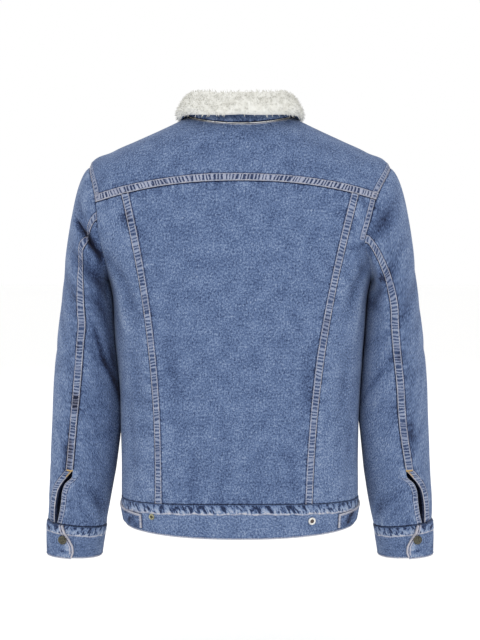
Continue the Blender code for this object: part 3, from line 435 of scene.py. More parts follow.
def plain_sleeve(side, around, down):
    around, down = np.broadcast_arrays(around, down)
    below = tube(around, np.maximum(down, 1.0))
    t = np.clip(down, 0, 1)[..., None]
    start, normal, inside = read_edge(side, around)
    pull, tilt = leaving(around)
    leave = pull * (np.cos(tilt) * inside + np.sin(tilt) * normal)
    finish = tube(around, np.ones_like(around))
    pull = ARRIVE * np.linalg.norm(finish - start, axis=-1, keepdims=True)
    arrive = pull * unit(tube(around, np.ones_like(around) + TINY) - finish)
    cap = (
        start * (1 - t) ** 2 * (1 + 2 * t)
        + finish * t**2 * (3 - 2 * t)
        + leave * t * (1 - t) ** 2
        - arrive * t**2 * (1 - t)
    )
    return np.where(t < 1, cap, below)


def sleeve_normal(surface, side, around, down):
    step = 20 * TINY
    by_around = surface(side, around + step, down) - surface(side, around - step, down)
    by_down = surface(side, around, down + step) - surface(side, around, np.maximum(down - step, 0))
    return unit(np.cross(by_down, by_around))


def crease_depth(cloth, z, creases, span):
    """How far creases draw the cloth in; cloth is its length around, and repeats after span."""
    total = np.zeros_like(z)
    for from_x, from_z, to_x, to_z, depth, width in creases:
        run_x, run_z = to_x - from_x, to_z - from_z
        across = np.mod(cloth - from_x + span / 4, span) - span / 4
        held = np.clip((across * run_x + (z - from_z) * run_z) / (run_x**2 + run_z**2), 0, 1)
        off = np.hypot(across - held * run_x, z - from_z - held * run_z)
        fade = np.sin(math.pi * np.clip(held * 0.9 + 0.05, 0, 1)) ** 0.6
        total += depth * fade * np.exp(-((off / width) ** 2))
    return total


def in_lengths(lines):
    """Lines across the sleeve, with lengths of cloth in place of degrees around."""
    step = math.radians(1) * CREASE_SPAN
    return [(a * step, za, b * step, zb, depth, width) for a, za, b, zb, depth, width in lines]


SLEEVE_SPAN = 2 * math.pi * CREASE_SPAN


def sleeve_creases(side, around, z):
    depth = crease_depth(around * CREASE_SPAN, z, in_lengths(CREASES[side]), SLEEVE_SPAN)
    return depth + sharp_fold(around, z)[0] if side > 0 else depth


def sleeve(side, around, down):
    around, down = np.broadcast_arrays(around, down)
    plain = plain_sleeve(side, around, down)
    above, below = CREASE_FADES
    fade = np.clip(down / above, 0, 1) * np.clip((CUFF_DOWN - down) / below, 0, 1)
    depth = sleeve_creases(side, around, plain[..., 2]) * fade
    return plain - sleeve_normal(plain_sleeve, side, around, down) * depth[..., None]


def mitre(side, around):
    _, normal, inside = read_edge(side, around)
    _, tilt = leaving(around)
    both = unit(normal * (1 + np.cos(tilt)) - inside * np.sin(tilt))
    return -both / np.cos(tilt / 2)


def armhole_near(side, points):
    """The angle around the armhole nearest to points on the left, and their distance from its edge."""
    y, z = points[..., 1], points[..., 2]
    around = np.sign(y) * math.pi / 2
    for _ in range(4):
        depth = armhole_depth(around, side)
        around = np.arctan2(y / depth, (z - ARMHOLE_MIDDLE_Z) / ARMHOLE_HALF_HEIGHT)
    edge, _, inside = read_edge(side, around)
    off = np.abs(np.sum((points - edge) * inside, axis=-1))
    far = np.linalg.norm(points - edge, axis=-1)
    return around, np.where(points[..., 0] > 0.1, np.maximum(off, 0.6 * far), 1.0)


# ---------------------------------------------------------------- paths and patches
def measured(path):
    points = body(path[:, 0], path[:, 1])
    length = np.concatenate([[0], np.cumsum(np.linalg.norm(np.diff(points, axis=0), axis=1))])
    return np.column_stack([path, length / length[-1]])


def join(paths, cells):
    rows, start = [], 0.0
    for path, count in zip(paths, cells):
        path = path.copy()
        path[:, 2] = start + path[:, 2] * count / sum(cells)
        start = path[-1, 2]
        rows.append(path if not rows else path[1:])
    return np.vstack(rows)


def paced(path, cells):
    z = body(path[:, 0], path[:, 1])[:, 2]
    at_armpit = np.interp(PACE_Z, z, path[:, 2])
    share = np.interp(path[:, 2], [0, at_armpit, 1], [0, cells[0] / sum(cells), 1])
    return np.column_stack([path[:, :2], share])


def along(path, share):
    return np.stack([np.interp(share, path[:, 2], path[:, k]) for k in range(2)], -1)


def patch(bottom, top, left, right, u, t, hold=1):
    corner = [path[end, :2] for path in (bottom, top) for end in (0, -1)]
    us, ts = u[..., None], t[..., None] ** hold
    across = (1 - ts) * along(bottom, u) + ts * along(top, u)
    up = (1 - us) * along(left, t) + us * along(right, t)
    lower = (1 - us) * corner[0] + us * corner[1]
    upper = (1 - us) * corner[2] + us * corner[3]
    return across + up - (1 - ts) * lower - ts * upper


def drift(z):
    return DRIFT * np.clip((DRIFT_FROM_Z - z) / (DRIFT_FROM_Z - DRIFT_TO_Z), 0, 1)


def yoke_seam(x_from, x_to):
    x = np.linspace(x_from, x_to, 240)
    return measured(on_back(x, yoke_z(x)))


def slant_seam(side):
    top_z = yoke_z(SLANT_TOP)
    t = np.linspace(1, 0, 240)
    z = top_z + t * (SLANT_FOOT_Z - top_z)
    x = side * (SLANT_BOTTOM + (SLANT_TOP - SLANT_BOTTOM) * (1 - t) ** SLANT_CURVE) + drift(z)
    path = on_back(x, z)
    foot = path[0].copy()
    foot[1] = WAIST_LEVEL
    return measured(np.vstack([foot, path[path[:, 1] > WAIST_LEVEL + 0.02]]))


def side_seam(side):
    levels = np.linspace(WAIST_LEVEL, ARMPIT_LEVEL, 120)
    return measured(np.stack([np.full(120, side * math.pi / 2), levels], -1))


def armhole_run(side, first, last):
    step = 1 if last > first else -1
    stations = STATIONS[side][np.arange(first, last + step, step)]
    return np.column_stack([armhole(stations, side), np.linspace(0, 1, len(stations))])


def level_run(level, turn_from, turn_to):
    turns = np.linspace(turn_from, turn_to, 240)
    return measured(np.stack([turns, np.full(240, float(level))], -1))


def shoulder_seam(side):
    start = armhole(STATIONS[side][:1], side)[0]
    end = np.array([side * SHOULDER_SEAM_TURN, NECK_LEVEL])
    return measured(start + (end - start) * np.linspace(0, 1, 120)[:, None])


# ---------------------------------------------------------------- materials
class Net:
    """A material's nodes; its methods take sockets or numbers and return a socket."""

    def __init__(self, name):
        self.material = bpy.data.materials.new(name)
        self.material.use_nodes = True
        self.tree = self.material.node_tree
        self.shader = self.tree.nodes["Principled BSDF"]

    def put(self, socket, value):
        if isinstance(value, bpy.types.NodeSocket):
            self.tree.links.new(value, socket)
        else:
            socket.default_value = value

    def math(self, operation, *values):
        node = self.tree.nodes.new("ShaderNodeMath")
        node.operation = operation
        for socket, value in zip(node.inputs, values):
            self.put(socket, value)
        return node.outputs[0]

    def add(self, *values):
        total = values[0]
        for value in values[1:]:
            total = self.math("ADD", total, value)
        return total

    def times(self, *values):
        total = values[0]
        for value in values[1:]:
            total = self.math("MULTIPLY", total, value)
        return total

    def rest(self, value):
        return self.math("SUBTRACT", 1.0, value)

    def step(self, value, start, end):
        node = self.tree.nodes.new("ShaderNodeMapRange")
        node.interpolation_type = "SMOOTHSTEP"
        self.put(node.inputs["Value"], value)
        self.put(node.inputs["From Min"], start)
        self.put(node.inputs["From Max"], end)
        return node.outputs[0]

    def line(self, value, middle, half):
        """1 on a line where value is middle, fading to 0 at half to each side."""
        off = self.math("ABSOLUTE", self.math("SUBTRACT", value, middle))
        return self.rest(self.step(off, half * 0.35, half))

    def uv(self, layer):
        node = self.tree.nodes.new("ShaderNodeUVMap")
        node.uv_map = layer
        parts = self.tree.nodes.new("ShaderNodeSeparateXYZ")
        self.tree.links.new(node.outputs[0], parts.inputs[0])
        return node.outputs[0], parts.outputs[0], parts.outputs[1]

    def vector(self, x, y, z=0.0):
        node = self.tree.nodes.new("ShaderNodeCombineXYZ")
        for socket, value in zip(node.inputs, (x, y, z)):
            self.put(socket, value)
        return node.outputs[0]

    def grain(self, x, y, detail=2.0, rough=0.5, z=0.0):
        """Noise from 0 to 1 with about one bump to each unit of x and of y."""
        node = self.tree.nodes.new("ShaderNodeTexNoise")
        node.inputs["Scale"].default_value = 1.0
        node.inputs["Detail"].default_value = detail
        node.inputs["Roughness"].default_value = rough
        self.put(node.inputs["Vector"], self.vector(x, y, z))
        return node.outputs["Fac"]

    def ramp(self, value, stops):
        node = self.tree.nodes.new("ShaderNodeValToRGB")
        elements = node.color_ramp.elements
        while len(elements) < len(stops):
            elements.new(0.5)
        for element, (place, colour) in zip(elements, stops):
            element.position = place
            element.color = (*colour, 1)
        self.put(node.inputs["Fac"], value)
        return node.outputs[0]

    def blend(self, share, first, second):
        node = self.tree.nodes.new("ShaderNodeMix")
        node.data_type = "RGBA"
        sockets = [s for s in node.inputs if s.type == "RGBA"]
        self.put(node.inputs[0], share)
        self.put(sockets[0], first if not isinstance(first, tuple) else (*first, 1))
        self.put(sockets[1], second if not isinstance(second, tuple) else (*second, 1))
        return next(s for s in node.outputs if s.type == "RGBA")

    def bump(self, height, distance, strength=1.0):
        node = self.tree.nodes.new("ShaderNodeBump")
        node.inputs["Distance"].default_value = distance
        node.inputs["Strength"].default_value = strength
        self.put(node.inputs["Height"], height)
        self.tree.links.new(node.outputs[0], self.shader.inputs["Normal"])


DENIM_STOPS = (
    (0.00, (0.005, 0.008, 0.026)),
    (0.25, (0.030, 0.051, 0.122)),
    (0.50, (0.104, 0.159, 0.296)),
    (0.75, (0.240, 0.312, 0.462)),
    (1.00, (0.520, 0.530, 0.580)),
)
FADE = 0.475  # how far the cloth is faded, on DENIM_STOPS
RUNG_PITCH = 0.0056
WORN_THREAD = (0.50, 0.475, 0.50)
WORN_EDGE = (0.50, 0.475, 0.52)


def denim(name, kind):
    """Stone-washed denim. Its UV maps give the cloth's grain and the distances to seams."""
    net = Net(name)
    _, x, y = net.uv("cloth")
    _, fell, fell_along = net.uv("fell")
    _, seam, seam_along = net.uv("seam")
    _, twin, twin_along = net.uv("twin")
    _, ridge_wear_and_painted_light, sunk = net.uv("relief_and_painted_light")

    def centred(value, size):
        return net.times(net.math("SUBTRACT", value, 0.5), size)

    def rungs(off, at, seed):
        """Rope wash between two lines of stitching: 1 on the pale rungs and 0 in the dark gaps."""
        wander = net.grain(net.times(at, 90), net.times(off, 25), 1, 0.5, seed)
        wave = net.math("SINE", net.add(net.times(at, 2 * math.pi / RUNG_PITCH), net.times(wander, 12.0)))
        speckled = centred(net.grain(net.times(at, 420), net.times(off, 300), 2), 2.8)
        slow = centred(net.grain(net.times(at, 38), 9.0, 1, 0.5, seed), 3.2)
        return net.step(net.add(wave, speckled, slow), -0.95, 0.85)

    speck = net.grain(net.times(x, 360), net.times(y, 300), 4, 0.60)
    leaning = net.add(net.times(x, 760), net.times(y, 560))
    fine = net.grain(leaning, net.add(net.times(y, 330), net.times(x, -250)), 2, 0.6)
    mottle = net.grain(net.times(x, 46), net.times(y, 40), 2, 0.5)
    twill = net.math("SINE", net.add(net.times(x, 5200), net.times(y, 5200)))
    # ridge wear and painted light make the cloth paler; painted shade in creases, folds and beside other
    # parts, and stains, make it darker
    fade = net.add(
        FADE,
        centred(speck, 1.15),
        centred(fine, 0.88),
        centred(mottle, 0.30),
        net.times(ridge_wear_and_painted_light, 0.06),
        net.times(sunk, -0.045),
    )
    height = net.add(net.times(speck, 0.40), net.times(twill, 0.05))
    if kind == "panel":
        # the felled band: rungs of rope wash between its two lines of stitching, with dark outlines
        strong = net.step(fell_along, 5.0, 5.5)
        uneven = net.step(net.grain(net.times(fell_along, 30), 3.0, 2), 0.36, 0.58)
        rung = rungs(fell, fell_along, 1.0)
        band = net.times(net.step(fell, 0.0009, 0.0019), net.rest(net.step(fell, 0.0102, 0.0112)))
        broken = net.step(net.grain(net.times(fell_along, 190), 7.0, 1), 0.30, 0.50)
        frayed = net.step(net.grain(net.times(fell_along, 130), 11.0, 2), 0.36, 0.54)
        rim = net.rest(net.step(fell, 0.0008, 0.0019))
        edge_line = net.times(rim, net.add(0.35, net.times(frayed, 0.65)))
        inner_line = net.times(net.line(fell, 0.0112, 0.0012), broken)
        outline = net.line(fell, 0.0127, 0.0015)
        patches = net.step(net.grain(net.times(fell_along, 16), 2.0, 1), 0.56, 0.68)
        beyond = net.times(net.step(fell, 0.0118, 0.0135), net.rest(net.step(fell, 0.0145, 0.026)))
        ridges = net.grain(net.times(fell_along, 150), net.times(fell, 38), 1)
        gain = net.add(0.22, net.times(strong, 0.20), net.times(uneven, 0.20))
        start = net.add(0.25, net.times(strong, -0.13), net.times(net.rest(strong), patches, -0.14))
        tone = net.add(start, net.times(rung, gain), centred(fine, 0.7))
        fade = net.add(net.times(fade, net.rest(net.times(band, 0.9))), net.times(band, tone, 0.95))
        fade = net.add(fade, net.times(beyond, centred(ridges, 0.50)), net.times(outline, -0.26))
        # the double stitching round the armhole
        twin_rung = rungs(twin, twin_along, 4.0)
        twin_band = net.times(net.step(twin, 0.0020, 0.0030), net.rest(net.step(twin, 0.0074, 0.0084)))
        twin_lines = net.add(net.line(twin, 0.0014, 0.0011), net.line(twin, 0.0088, 0.0010))
        twin_tone = net.add(0.22, net.times(twin_rung, 0.36), centred(fine, 0.7))
        fade = net.times(fade, net.rest(net.times(twin_band, 0.8)))
        fade = net.add(fade, net.times(twin_band, twin_tone, 0.85))
        fade = net.add(fade, net.times(net.line(twin, 0.0103, 0.0012), -0.12))
        piping = net.times(net.step(seam_along, 17.0, 17.5), net.line(seam, 0.0033, 0.0014))
        lines = net.add(net.times(edge_line, 0.85), net.times(inner_line, 0.55), net.times(twin_lines, 0.50))
        # the felled band is darker still under deep painted shade
        fade = net.add(fade, net.times(piping, 0.42), net.times(band, net.step(sunk, 2.5, 5.5), -0.26))
        pale = net.times(band, rung, net.add(0.5, net.times(strong, 0.5)))
        pale = net.add(pale, net.times(twin_band, twin_rung, 0.7), net.times(piping, 0.8))
        height = net.add(height, net.times(band, rung, 0.6), net.times(twin_band, twin_rung, 0.5),
                         net.times(beyond, ridges, 0.8), net.times(lines, 0.4))
        hem_side = net.times(net.step(seam_along, 5.4, 5.6), net.rest(net.step(seam_along, 8.4, 8.6)))
        cover = net.add(-0.42, net.times(hem_side, 0.16))
    else:
        # a stitched strip: its turned edges are worn pale
        wear_and_painted_light = net.step(net.grain(net.times(fell_along, 240), net.times(fell, 500), 2), 0.30, 0.60)
        lines = net.times(net.rest(net.step(fell, 0.0006, 0.0024)), net.add(0.45, net.times(wear_and_painted_light, 0.65)))
        pale = net.times(lines, 0.7)
        shade = net.times(net.line(fell, 0.0036, 0.0014), net.rest(wear_and_painted_light))
        fade = net.add(fade, net.times(lines, 0.16), net.times(shade, -0.14))
        cover = -0.12
    # where this piece goes under its neighbour
    gathers = net.grain(net.times(seam_along, 150), net.times(seam, 42), 1, 0.5, 5.0)
    near = net.rest(net.step(seam, 0.003, 0.020))
    under = net.rest(net.step(seam, 0.0006, 0.0023))
    fade = net.add(fade, net.times(near, centred(gathers, 0.50)), net.times(under, cover))
    height = net.add(height, net.times(near, gathers, 0.8))
    if kind == "roped":
        zone = net.times(net.step(seam, 0.0004, 0.0014), net.rest(net.step(seam, 0.0130, 0.0172)))
        slanted = net.add(net.times(seam_along, 165), net.times(seam, 70))
        blots = net.grain(slanted, net.times(seam, 75), 3, 0.6, 2.0)
        lower = net.step(seam, 0.002, 0.014)
        wavy = net.add(0.0150, centred(net.grain(net.times(seam_along, 52), 1.0, 1), 0.0070))
        off = net.math("ABSOLUTE", net.math("SUBTRACT", seam, wavy))
        there = net.step(net.grain(net.times(seam_along, 90), 4.0, 1), 0.25, 0.5)
        ridge = net.times(net.rest(net.step(off, 0.0004, 0.0021)), there)
        stain = net.add(0.02, net.times(net.step(blots, 0.40, 0.57), net.add(0.58, net.times(lower, 0.20))),
                        net.times(lower, 0.06), centred(fine, 0.7))
        fade = net.add(net.times(fade, net.rest(net.times(zone, 0.85))), net.times(zone, stain, 0.9))
        lapped = net.times(net.step(fell_along, 2.9, 3.0), net.rest(net.step(fell_along, 3.2, 3.3)))
        cords = net.times(lapped, net.add(net.line(fell, 0.0012, 0.0024), net.line(fell, 0.0056, 0.0017)))
        between = net.times(lapped, net.line(fell, 0.0036, 0.0011))
        fade = net.add(fade, net.times(ridge, 0.30), net.times(cords, 0.20), net.times(between, -0.22))
        pale = net.add(pale, net.times(ridge, 0.9), net.times(cords, 1.5))
        height = net.add(height, net.times(zone, blots, 1.4), net.times(ridge, 1.1))
    fade = net.add(fade, net.times(lines, 0.25))
    colour = net.ramp(fade, DENIM_STOPS)
    colour = net.blend(net.math("MINIMUM", net.times(pale, 0.42), 0.6), colour, WORN_EDGE)
    colour = net.blend(net.math("MINIMUM", net.times(lines, 0.60), 0.7), colour, WORN_THREAD)
    net.put(net.shader.inputs["Base Color"], colour)
    net.put(net.shader.inputs["Roughness"], net.add(0.80, net.times(speck, 0.2)))
    net.shader.inputs["Specular IOR Level"].default_value = 0.16
    net.shader.inputs["Sheen Weight"].default_value = 0.05
    net.shader.inputs["Sheen Roughness"].default_value = 0.6
    net.bump(height, 0.0011, 0.75)
    return net.material


def shaded(name):
    """Dark navy of the cloth's inner side and edges, seen in seams and in the vents; its darkness is painted
    shade.
    """
    net = Net(name)
    _, x, y = net.uv("cloth")
    grain = net.grain(net.times(x, 500), net.times(y, 420), 3, 0.6)
    stops = ((0.3, (0.010, 0.014, 0.036)), (0.5, (0.026, 0.036, 0.080)), (0.7, (0.060, 0.080, 0.150)))
    net.put(net.shader.inputs["Base Color"], net.ramp(grain, stops))
    net.put(net.shader.inputs["Roughness"], net.add(0.82, net.times(grain, 0.15)))
    net.shader.inputs["Specular IOR Level"].default_value = 0.15
    net.bump(grain, 0.0006, 0.6)
    return net.material


def fleece(name, tufted):
    """Cream fleece: its pile, or the short curls of the lining."""
    net = Net(name)
    _, x, y = net.uv("cloth")
    curls = net.grain(net.times(x, 230), net.times(y, 230), 3, 0.6)
    lumps = net.grain(net.times(x, 60), net.times(y, 60), 2, 0.5)
    colour = net.ramp(
        net.add(net.times(curls, 0.5), net.times(lumps, 0.5)),
        ((0.28, (0.56, 0.545, 0.49)), (0.48, (0.77, 0.765, 0.715)), (0.70, (0.84, 0.84, 0.80))),
    )
    net.put(net.shader.inputs["Base Color"], colour)
    net.put(net.shader.inputs["Roughness"], net.add(0.85, net.times(curls, 0.15)))
    net.shader.inputs["Specular IOR Level"].default_value = 0.15
    net.shader.inputs["Sheen Weight"].default_value = 0.25
    net.bump(net.add(curls, net.times(lumps, 1.5)), 0.0035 if tufted else 0.002, 0.9)
    return net.material


def thread_material(name, dark, middle, light):
    net = Net(name)
    _, x, y = net.uv("cloth")
    fibre = net.grain(net.times(x, 9000), net.times(y, 3000), 1)
    tone = net.grain(net.times(x, 75), net.times(y, 30), 2)
    colour = net.ramp(net.add(net.times(fibre, 0.3), net.times(tone, 0.7)),
                      ((0.38, dark), (0.48, middle), (0.60, light)))
    net.put(net.shader.inputs["Base Color"], colour)
    net.put(net.shader.inputs["Roughness"], net.add(0.55, net.times(fibre, 0.3)))
    net.bump(fibre, 0.0003, 0.6)
    return net.material


def metal(name, light, dark, roughness):
    """Aged metal: light where it is rubbed, dark in its spots."""
    net = Net(name)
    place = net.tree.nodes.new("ShaderNodeTexCoord").outputs["Object"]
    parts = net.tree.nodes.new("ShaderNodeSeparateXYZ")
    net.tree.links.new(place, parts.inputs[0])
    x, y, z = [net.times(parts.outputs[k], 520) for k in range(3)]
    spots = net.grain(x, y, 3, 0.6, z)
    fine = net.grain(net.times(x, 6), net.times(y, 6), 2, 0.5, net.times(z, 6))
    net.put(net.shader.inputs["Base Color"], net.ramp(spots, ((0.35, dark), (0.62, light))))
    net.put(net.shader.inputs["Roughness"], net.add(roughness, net.times(fine, 0.25)))
    net.shader.inputs["Metallic"].default_value = 0.85
    net.bump(net.add(fine, spots), 0.0002, 0.6)
    return net.material


LOOKS = {
    "denim": denim("denim_washed", "panel"),
    "band": denim("denim_roped", "roped"),
    "trim": denim("denim_trim", "trim"),
    "shade": shaded("denim_inside_painted_shade"),
    "pile": fleece("fleece_pile", True),
    "lining": fleece("fleece_lining", False),
    "thread": thread_material("topstitching", (0.10, 0.13, 0.22), (0.34, 0.34, 0.40), (0.62, 0.585, 0.60)),
    "gold_thread": thread_material(
        "bartack_gold", (0.34, 0.21, 0.07), (0.52, 0.36, 0.15), (0.66, 0.50, 0.26)
    ),
    "bronze": metal("bronze_aged", (0.13, 0.125, 0.095), (0.035, 0.034, 0.028), 0.34),
    "brass": metal("brass_aged", (0.52, 0.50, 0.33), (0.20, 0.20, 0.13), 0.36),
    "nickel": metal("nickel_ring", (0.93, 0.92, 0.89), (0.62, 0.60, 0.56), 0.42),
    "rust": metal("ring_centre", (0.19, 0.15, 0.14), (0.08, 0.07, 0.07), 0.5),
}


# ---------------------------------------------------------------- meshes
# relief_and_painted_light holds ridge heights with wear and painted light, then crease depths with painted
# shade and stains
LAYERS = ("cloth", "fell", "seam", "twin", "relief_and_painted_light")
FAR = {"cloth": (0, 0), "fell": (1, 0), "seam": (1, 0), "twin": (1, 0), "relief_and_painted_light": (0, 0)}


def make_object(name, points, faces, uvs, finishes, indices=None, smooth_angle=55):
    """A mesh object from arrays; uvs maps a layer to the coordinates of each point."""
    mesh = bpy.data.meshes.new(name)
    mesh.vertices.add(len(points))
    mesh.vertices.foreach_set("co", np.ascontiguousarray(points, np.float32).ravel())
    size = faces.shape[1]
    mesh.loops.add(faces.size)
    mesh.loops.foreach_set("vertex_index", faces.ravel().astype(np.int32))
    mesh.polygons.add(len(faces))
    mesh.polygons.foreach_set("loop_start", np.arange(0, faces.size, size, dtype=np.int32))
    for layer, values in uvs.items():
        made = mesh.uv_layers.new(name=layer)
        made.data.foreach_set("uv", values[faces.ravel()].astype(np.float32).ravel())
    for finish in finishes:
        mesh.materials.append(LOOKS[finish])
    if indices is not None:
        mesh.polygons.foreach_set("material_index", indices.astype(np.int32))
    mesh.update(calc_edges=True)
    mesh.validate()
    mesh.shade_smooth()
    mesh.set_sharp_from_angle(angle=math.radians(smooth_angle))
    made = bpy.data.objects.new(name, mesh)
    bpy.context.scene.collection.objects.link(made)
    return made


def grid_faces(rows, columns):
    index = np.arange(rows * columns).reshape(rows, columns)
    return np.stack([index[:-1, :-1], index[:-1, 1:], index[1:, 1:], index[1:, :-1]], -1).reshape(-1, 4)


def wall(name, nodes, outer, inner, layers, looks):
    """A closed wall between two grids, which stands for solids of the frame.

    looks are those of its outer side, its inner side and its edges.
    """
    rows, columns = outer.shape[:2]
    size = rows * columns
    front = grid_faces(rows, columns)
    index = np.arange(size).reshape(rows, columns)
    rim = np.concatenate([index[0, :-1], index[:-1, -1], index[-1, :0:-1], index[:0:-1, 0]])
    after = np.roll(rim, -1)
    sides = np.stack([after, rim, rim + size, after + size], -1)
    faces = np.concatenate([front, front[:, ::-1] + size, sides])
    middle = rows // 2, columns // 2
    across = outer[middle[0], middle[1] + 1] - outer[middle]
    up = outer[middle[0] + 1, middle[1]] - outer[middle]
    if np.cross(across, up) @ (outer[middle] - inner[middle]) < 0:
        faces = faces[:, ::-1]
    indices = np.repeat([0, 1, 2], (len(front), len(front), len(sides)))
    uvs = {}
    for layer in LAYERS:
        values = layers.get(layer)
        if values is None:
            values = np.broadcast_to(np.array(FAR[layer], float), (rows, columns, 2))
        uvs[layer] = np.concatenate([values.reshape(-1, 2)] * 2)
    points = np.concatenate([outer.reshape(-1, 3), inner.reshape(-1, 3)])
    made = make_object(name, points, faces, uvs, looks, indices)
    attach(made, "root")
    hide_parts(*nodes)
    return made


def lengths(points, axis):
    """Distance of each grid point along its row or column, from the first."""
    step = np.linalg.norm(np.diff(points, axis=axis), axis=2)
    total = np.cumsum(step, axis=axis)
    pad = [(1, 0) if k == axis else (0, 0) for k in range(2)]
    return np.pad(total, pad)


def side_fields(points):
    """For each side of a grid: how far each point is from it, and how far along it."""
    across, up = lengths(points, 1), lengths(points, 0)
    size = across.shape
    return {
        "first": (across, np.broadcast_to(up[:, :1], size)),
        "last": (across[:, -1:] - across, np.broadcast_to(up[:, -1:], size) + 3.0),
        "low": (up, np.broadcast_to(across[:1], size) + 6.0),
        "high": (up[-1:] - up, np.broadcast_to(across[-1:], size) + 9.0),
    }


def level_cloth(fields, seed):
    """Lengths across from the middle column and up, so that the cloth's grain isn't stretched."""
    across, up = fields["first"][0], fields["low"][0]
    middle = across[:, across.shape[1] // 2][:, None]
    return np.stack([across - middle + seed * 0.37, up + seed * 0.11], -1)


def nearest(fields, sides):
    """One layer of distance and length along from the nearest of some sides."""
    if not sides:
        return None
    off = np.stack([fields[side][0] for side in sides])
    along_side = np.stack([fields[side][1] for side in sides])
    pick = np.argmin(off, axis=0)[None]
    return np.stack([np.take_along_axis(a, pick, 0)[0] for a in (off, along_side)], -1)


def felled_height(off, at, seed):
    """Relief of a felled band: a rounded fold, two sunk lines, and puckers between and beyond."""
    flat = smooth(off, -0.0006, 0.0010) * (1 - smooth(off, 0.0114, 0.0130))
    between = np.exp(-(((off - 0.0062) / 0.0034) ** 2))
    sunk = np.exp(-(((off - 0.0014) / 0.0007) ** 2)) + np.exp(-(((off - 0.0110) / 0.0007) ** 2))
    beyond = smooth(off, 0.0122, 0.0150) * np.exp(-np.maximum(off - 0.0125, 0) / 0.011)
    return (
        FELL_RISE * flat
        + between * (0.00035 + 0.00045 * noise(at / 0.0085, off * 0, seed))
        - 0.00030 * sunk
        + beyond * 0.0009 * noise(at / 0.0075, off / 0.030, seed + 1)
    )


def seam_height(off, at, seed):
    """Relief beside a plain seam: sunk at the seam, with puckers that fade away from it."""
    puckers = np.exp(-off / 0.012) * noise(at / 0.0075, off / 0.035, seed)
    return 0.0009 * puckers * smooth(off, 0.0, 0.002) - 0.0007 * np.exp(-off / 0.0016)


def slow_waves(x, z, seed):
    """Slight unevenness of cloth held out by a body."""
    return 0.0011 * noise(x / 0.038, z / 0.120, seed) + 0.0008 * noise(x / 0.090 + 5, z / 0.070, seed + 1)


def fine_shares(length, pitch=0.0036, first=False, last=False):
    """Shares of a length about a pitch apart, closer together in a felled band at either end."""
    close = np.array([
        0, 0.0006, 0.0012, 0.0018, 0.0032, 0.0050, 0.0068, 0.0086, 0.0104, 0.0110, 0.0117, 0.0128, 0.0142,
    ])
    start = close if first else np.array([0, 0.0008, 0.0018])
    end = close if last else np.array([0, 0.0008, 0.0018])
    inner = length - start[-1] - end[-1]
    even = start[-1] + inner * np.linspace(0, 1, max(2, round(inner / pitch)))[1:-1]
    return np.concatenate([start, even, (length - end)[::-1]]) / length


# ---------------------------------------------------------------- body panels
TWIN_ENDS = {1: -0.112, -1: -0.182}  # the double stitching round the armholes ends here at the back
FRONT_TWIN_END = -0.252  # and here on the fronts


# Creases of the body, by length around from centre back (the wearer's left is positive) and height.
BODY_SPAN = 1.20  # length around the body that a full turn of creases repeats after
BODY_FOLDS = (
    # around, z, around, z, depth, width
    (0.112, -0.150, 0.126, -0.240, 0.0020, 0.010),
    (0.098, -0.330, 0.088, -0.455, 0.0018, 0.012),
    (0.104, -0.470, 0.112, -0.570, -0.0016, 0.010),
    (0.060, -0.510, 0.074, -0.588, 0.0015, 0.009),
    (0.020, -0.530, 0.030, -0.590, 0.0013, 0.008),
    (-0.028, -0.520, -0.022, -0.590, 0.0014, 0.008),
    (-0.070, -0.500, -0.078, -0.588, 0.0015, 0.009),
    (-0.118, -0.160, -0.128, -0.250, 0.0019, 0.010),
    (-0.100, -0.340, -0.092, -0.450, 0.0017, 0.012),
    (-0.110, -0.460, -0.116, -0.572, -0.0016, 0.010),
    (0.176, -0.205, 0.150, -0.300, 0.0030, 0.012),
    (0.196, -0.235, 0.168, -0.345, -0.0020, 0.011),
    (0.160, -0.345, 0.150, -0.500, 0.0018, 0.013),
    (0.184, -0.420, 0.176, -0.560, 0.0018, 0.012),
    (-0.180, -0.205, -0.152, -0.300, 0.0028, 0.012),
    (-0.200, -0.240, -0.172, -0.350, -0.0020, 0.011),
    (-0.166, -0.350, -0.156, -0.505, 0.0018, 0.013),
    (-0.188, -0.425, -0.178, -0.560, 0.0018, 0.012),
    (0.165, -0.118, 0.205, -0.150, 0.0016, 0.009),
    (-0.165, -0.118, -0.205, -0.150, 0.0016, 0.009),
    (0.040, -0.030, 0.090, -0.060, 0.0008, 0.012),
    (-0.050, -0.030, -0.100, -0.062, 0.0008, 0.012),
    (0.330, -0.230, 0.390, -0.330, 0.0028, 0.012),
    (0.300, -0.270, 0.360, -0.380, -0.0018, 0.011),
    (0.420, -0.480, 0.440, -0.585, 0.0017, 0.010),
    (0.360, -0.500, 0.350, -0.588, 0.0016, 0.009),
    (-0.330, -0.235, -0.392, -0.335, 0.0028, 0.012),
    (-0.300, -0.270, -0.362, -0.385, -0.0018, 0.011),
    (-0.418, -0.478, -0.436, -0.585, 0.0017, 0.010),
    (-0.350, -0.505, -0.345, -0.588, 0.0016, 0.009),
    (-0.205, -0.174, -0.138, -0.195, 0.0030, 0.007),
)
AROUND_LENGTH = 0.172  # metres of body for each radian of turn, about
SIDE_PAINTED_LIGHT = 0.8  # painted light on the back sides: how much paler they are
BULGE, PIPING = 0.9, 0.0008  # of a felled band where it goes under the yoke, and of the neck's piping
# Painted shadows on the body's cloth near the armholes, as lines.
BODY_PAINTED_SHADOWS = (
    # around, z, around, z, how dark, width
    (0.126, -0.132, 0.121, -0.158, 7.0, 0.008),
    (0.186, -0.190, 0.210, -0.226, 4.5, 0.006),
    (0.204, -0.215, 0.226, -0.300, 2.2, 0.009),
    (-0.132, -0.192, -0.160, -0.180, 4.5, 0.0045),
    (-0.140, -0.196, -0.172, -0.240, 2.2, 0.008),
    (-0.138, -0.118, -0.146, -0.140, 3.5, 0.005),
    (-0.150, -0.116, -0.152, -0.132, 3.0, 0.0035),
)


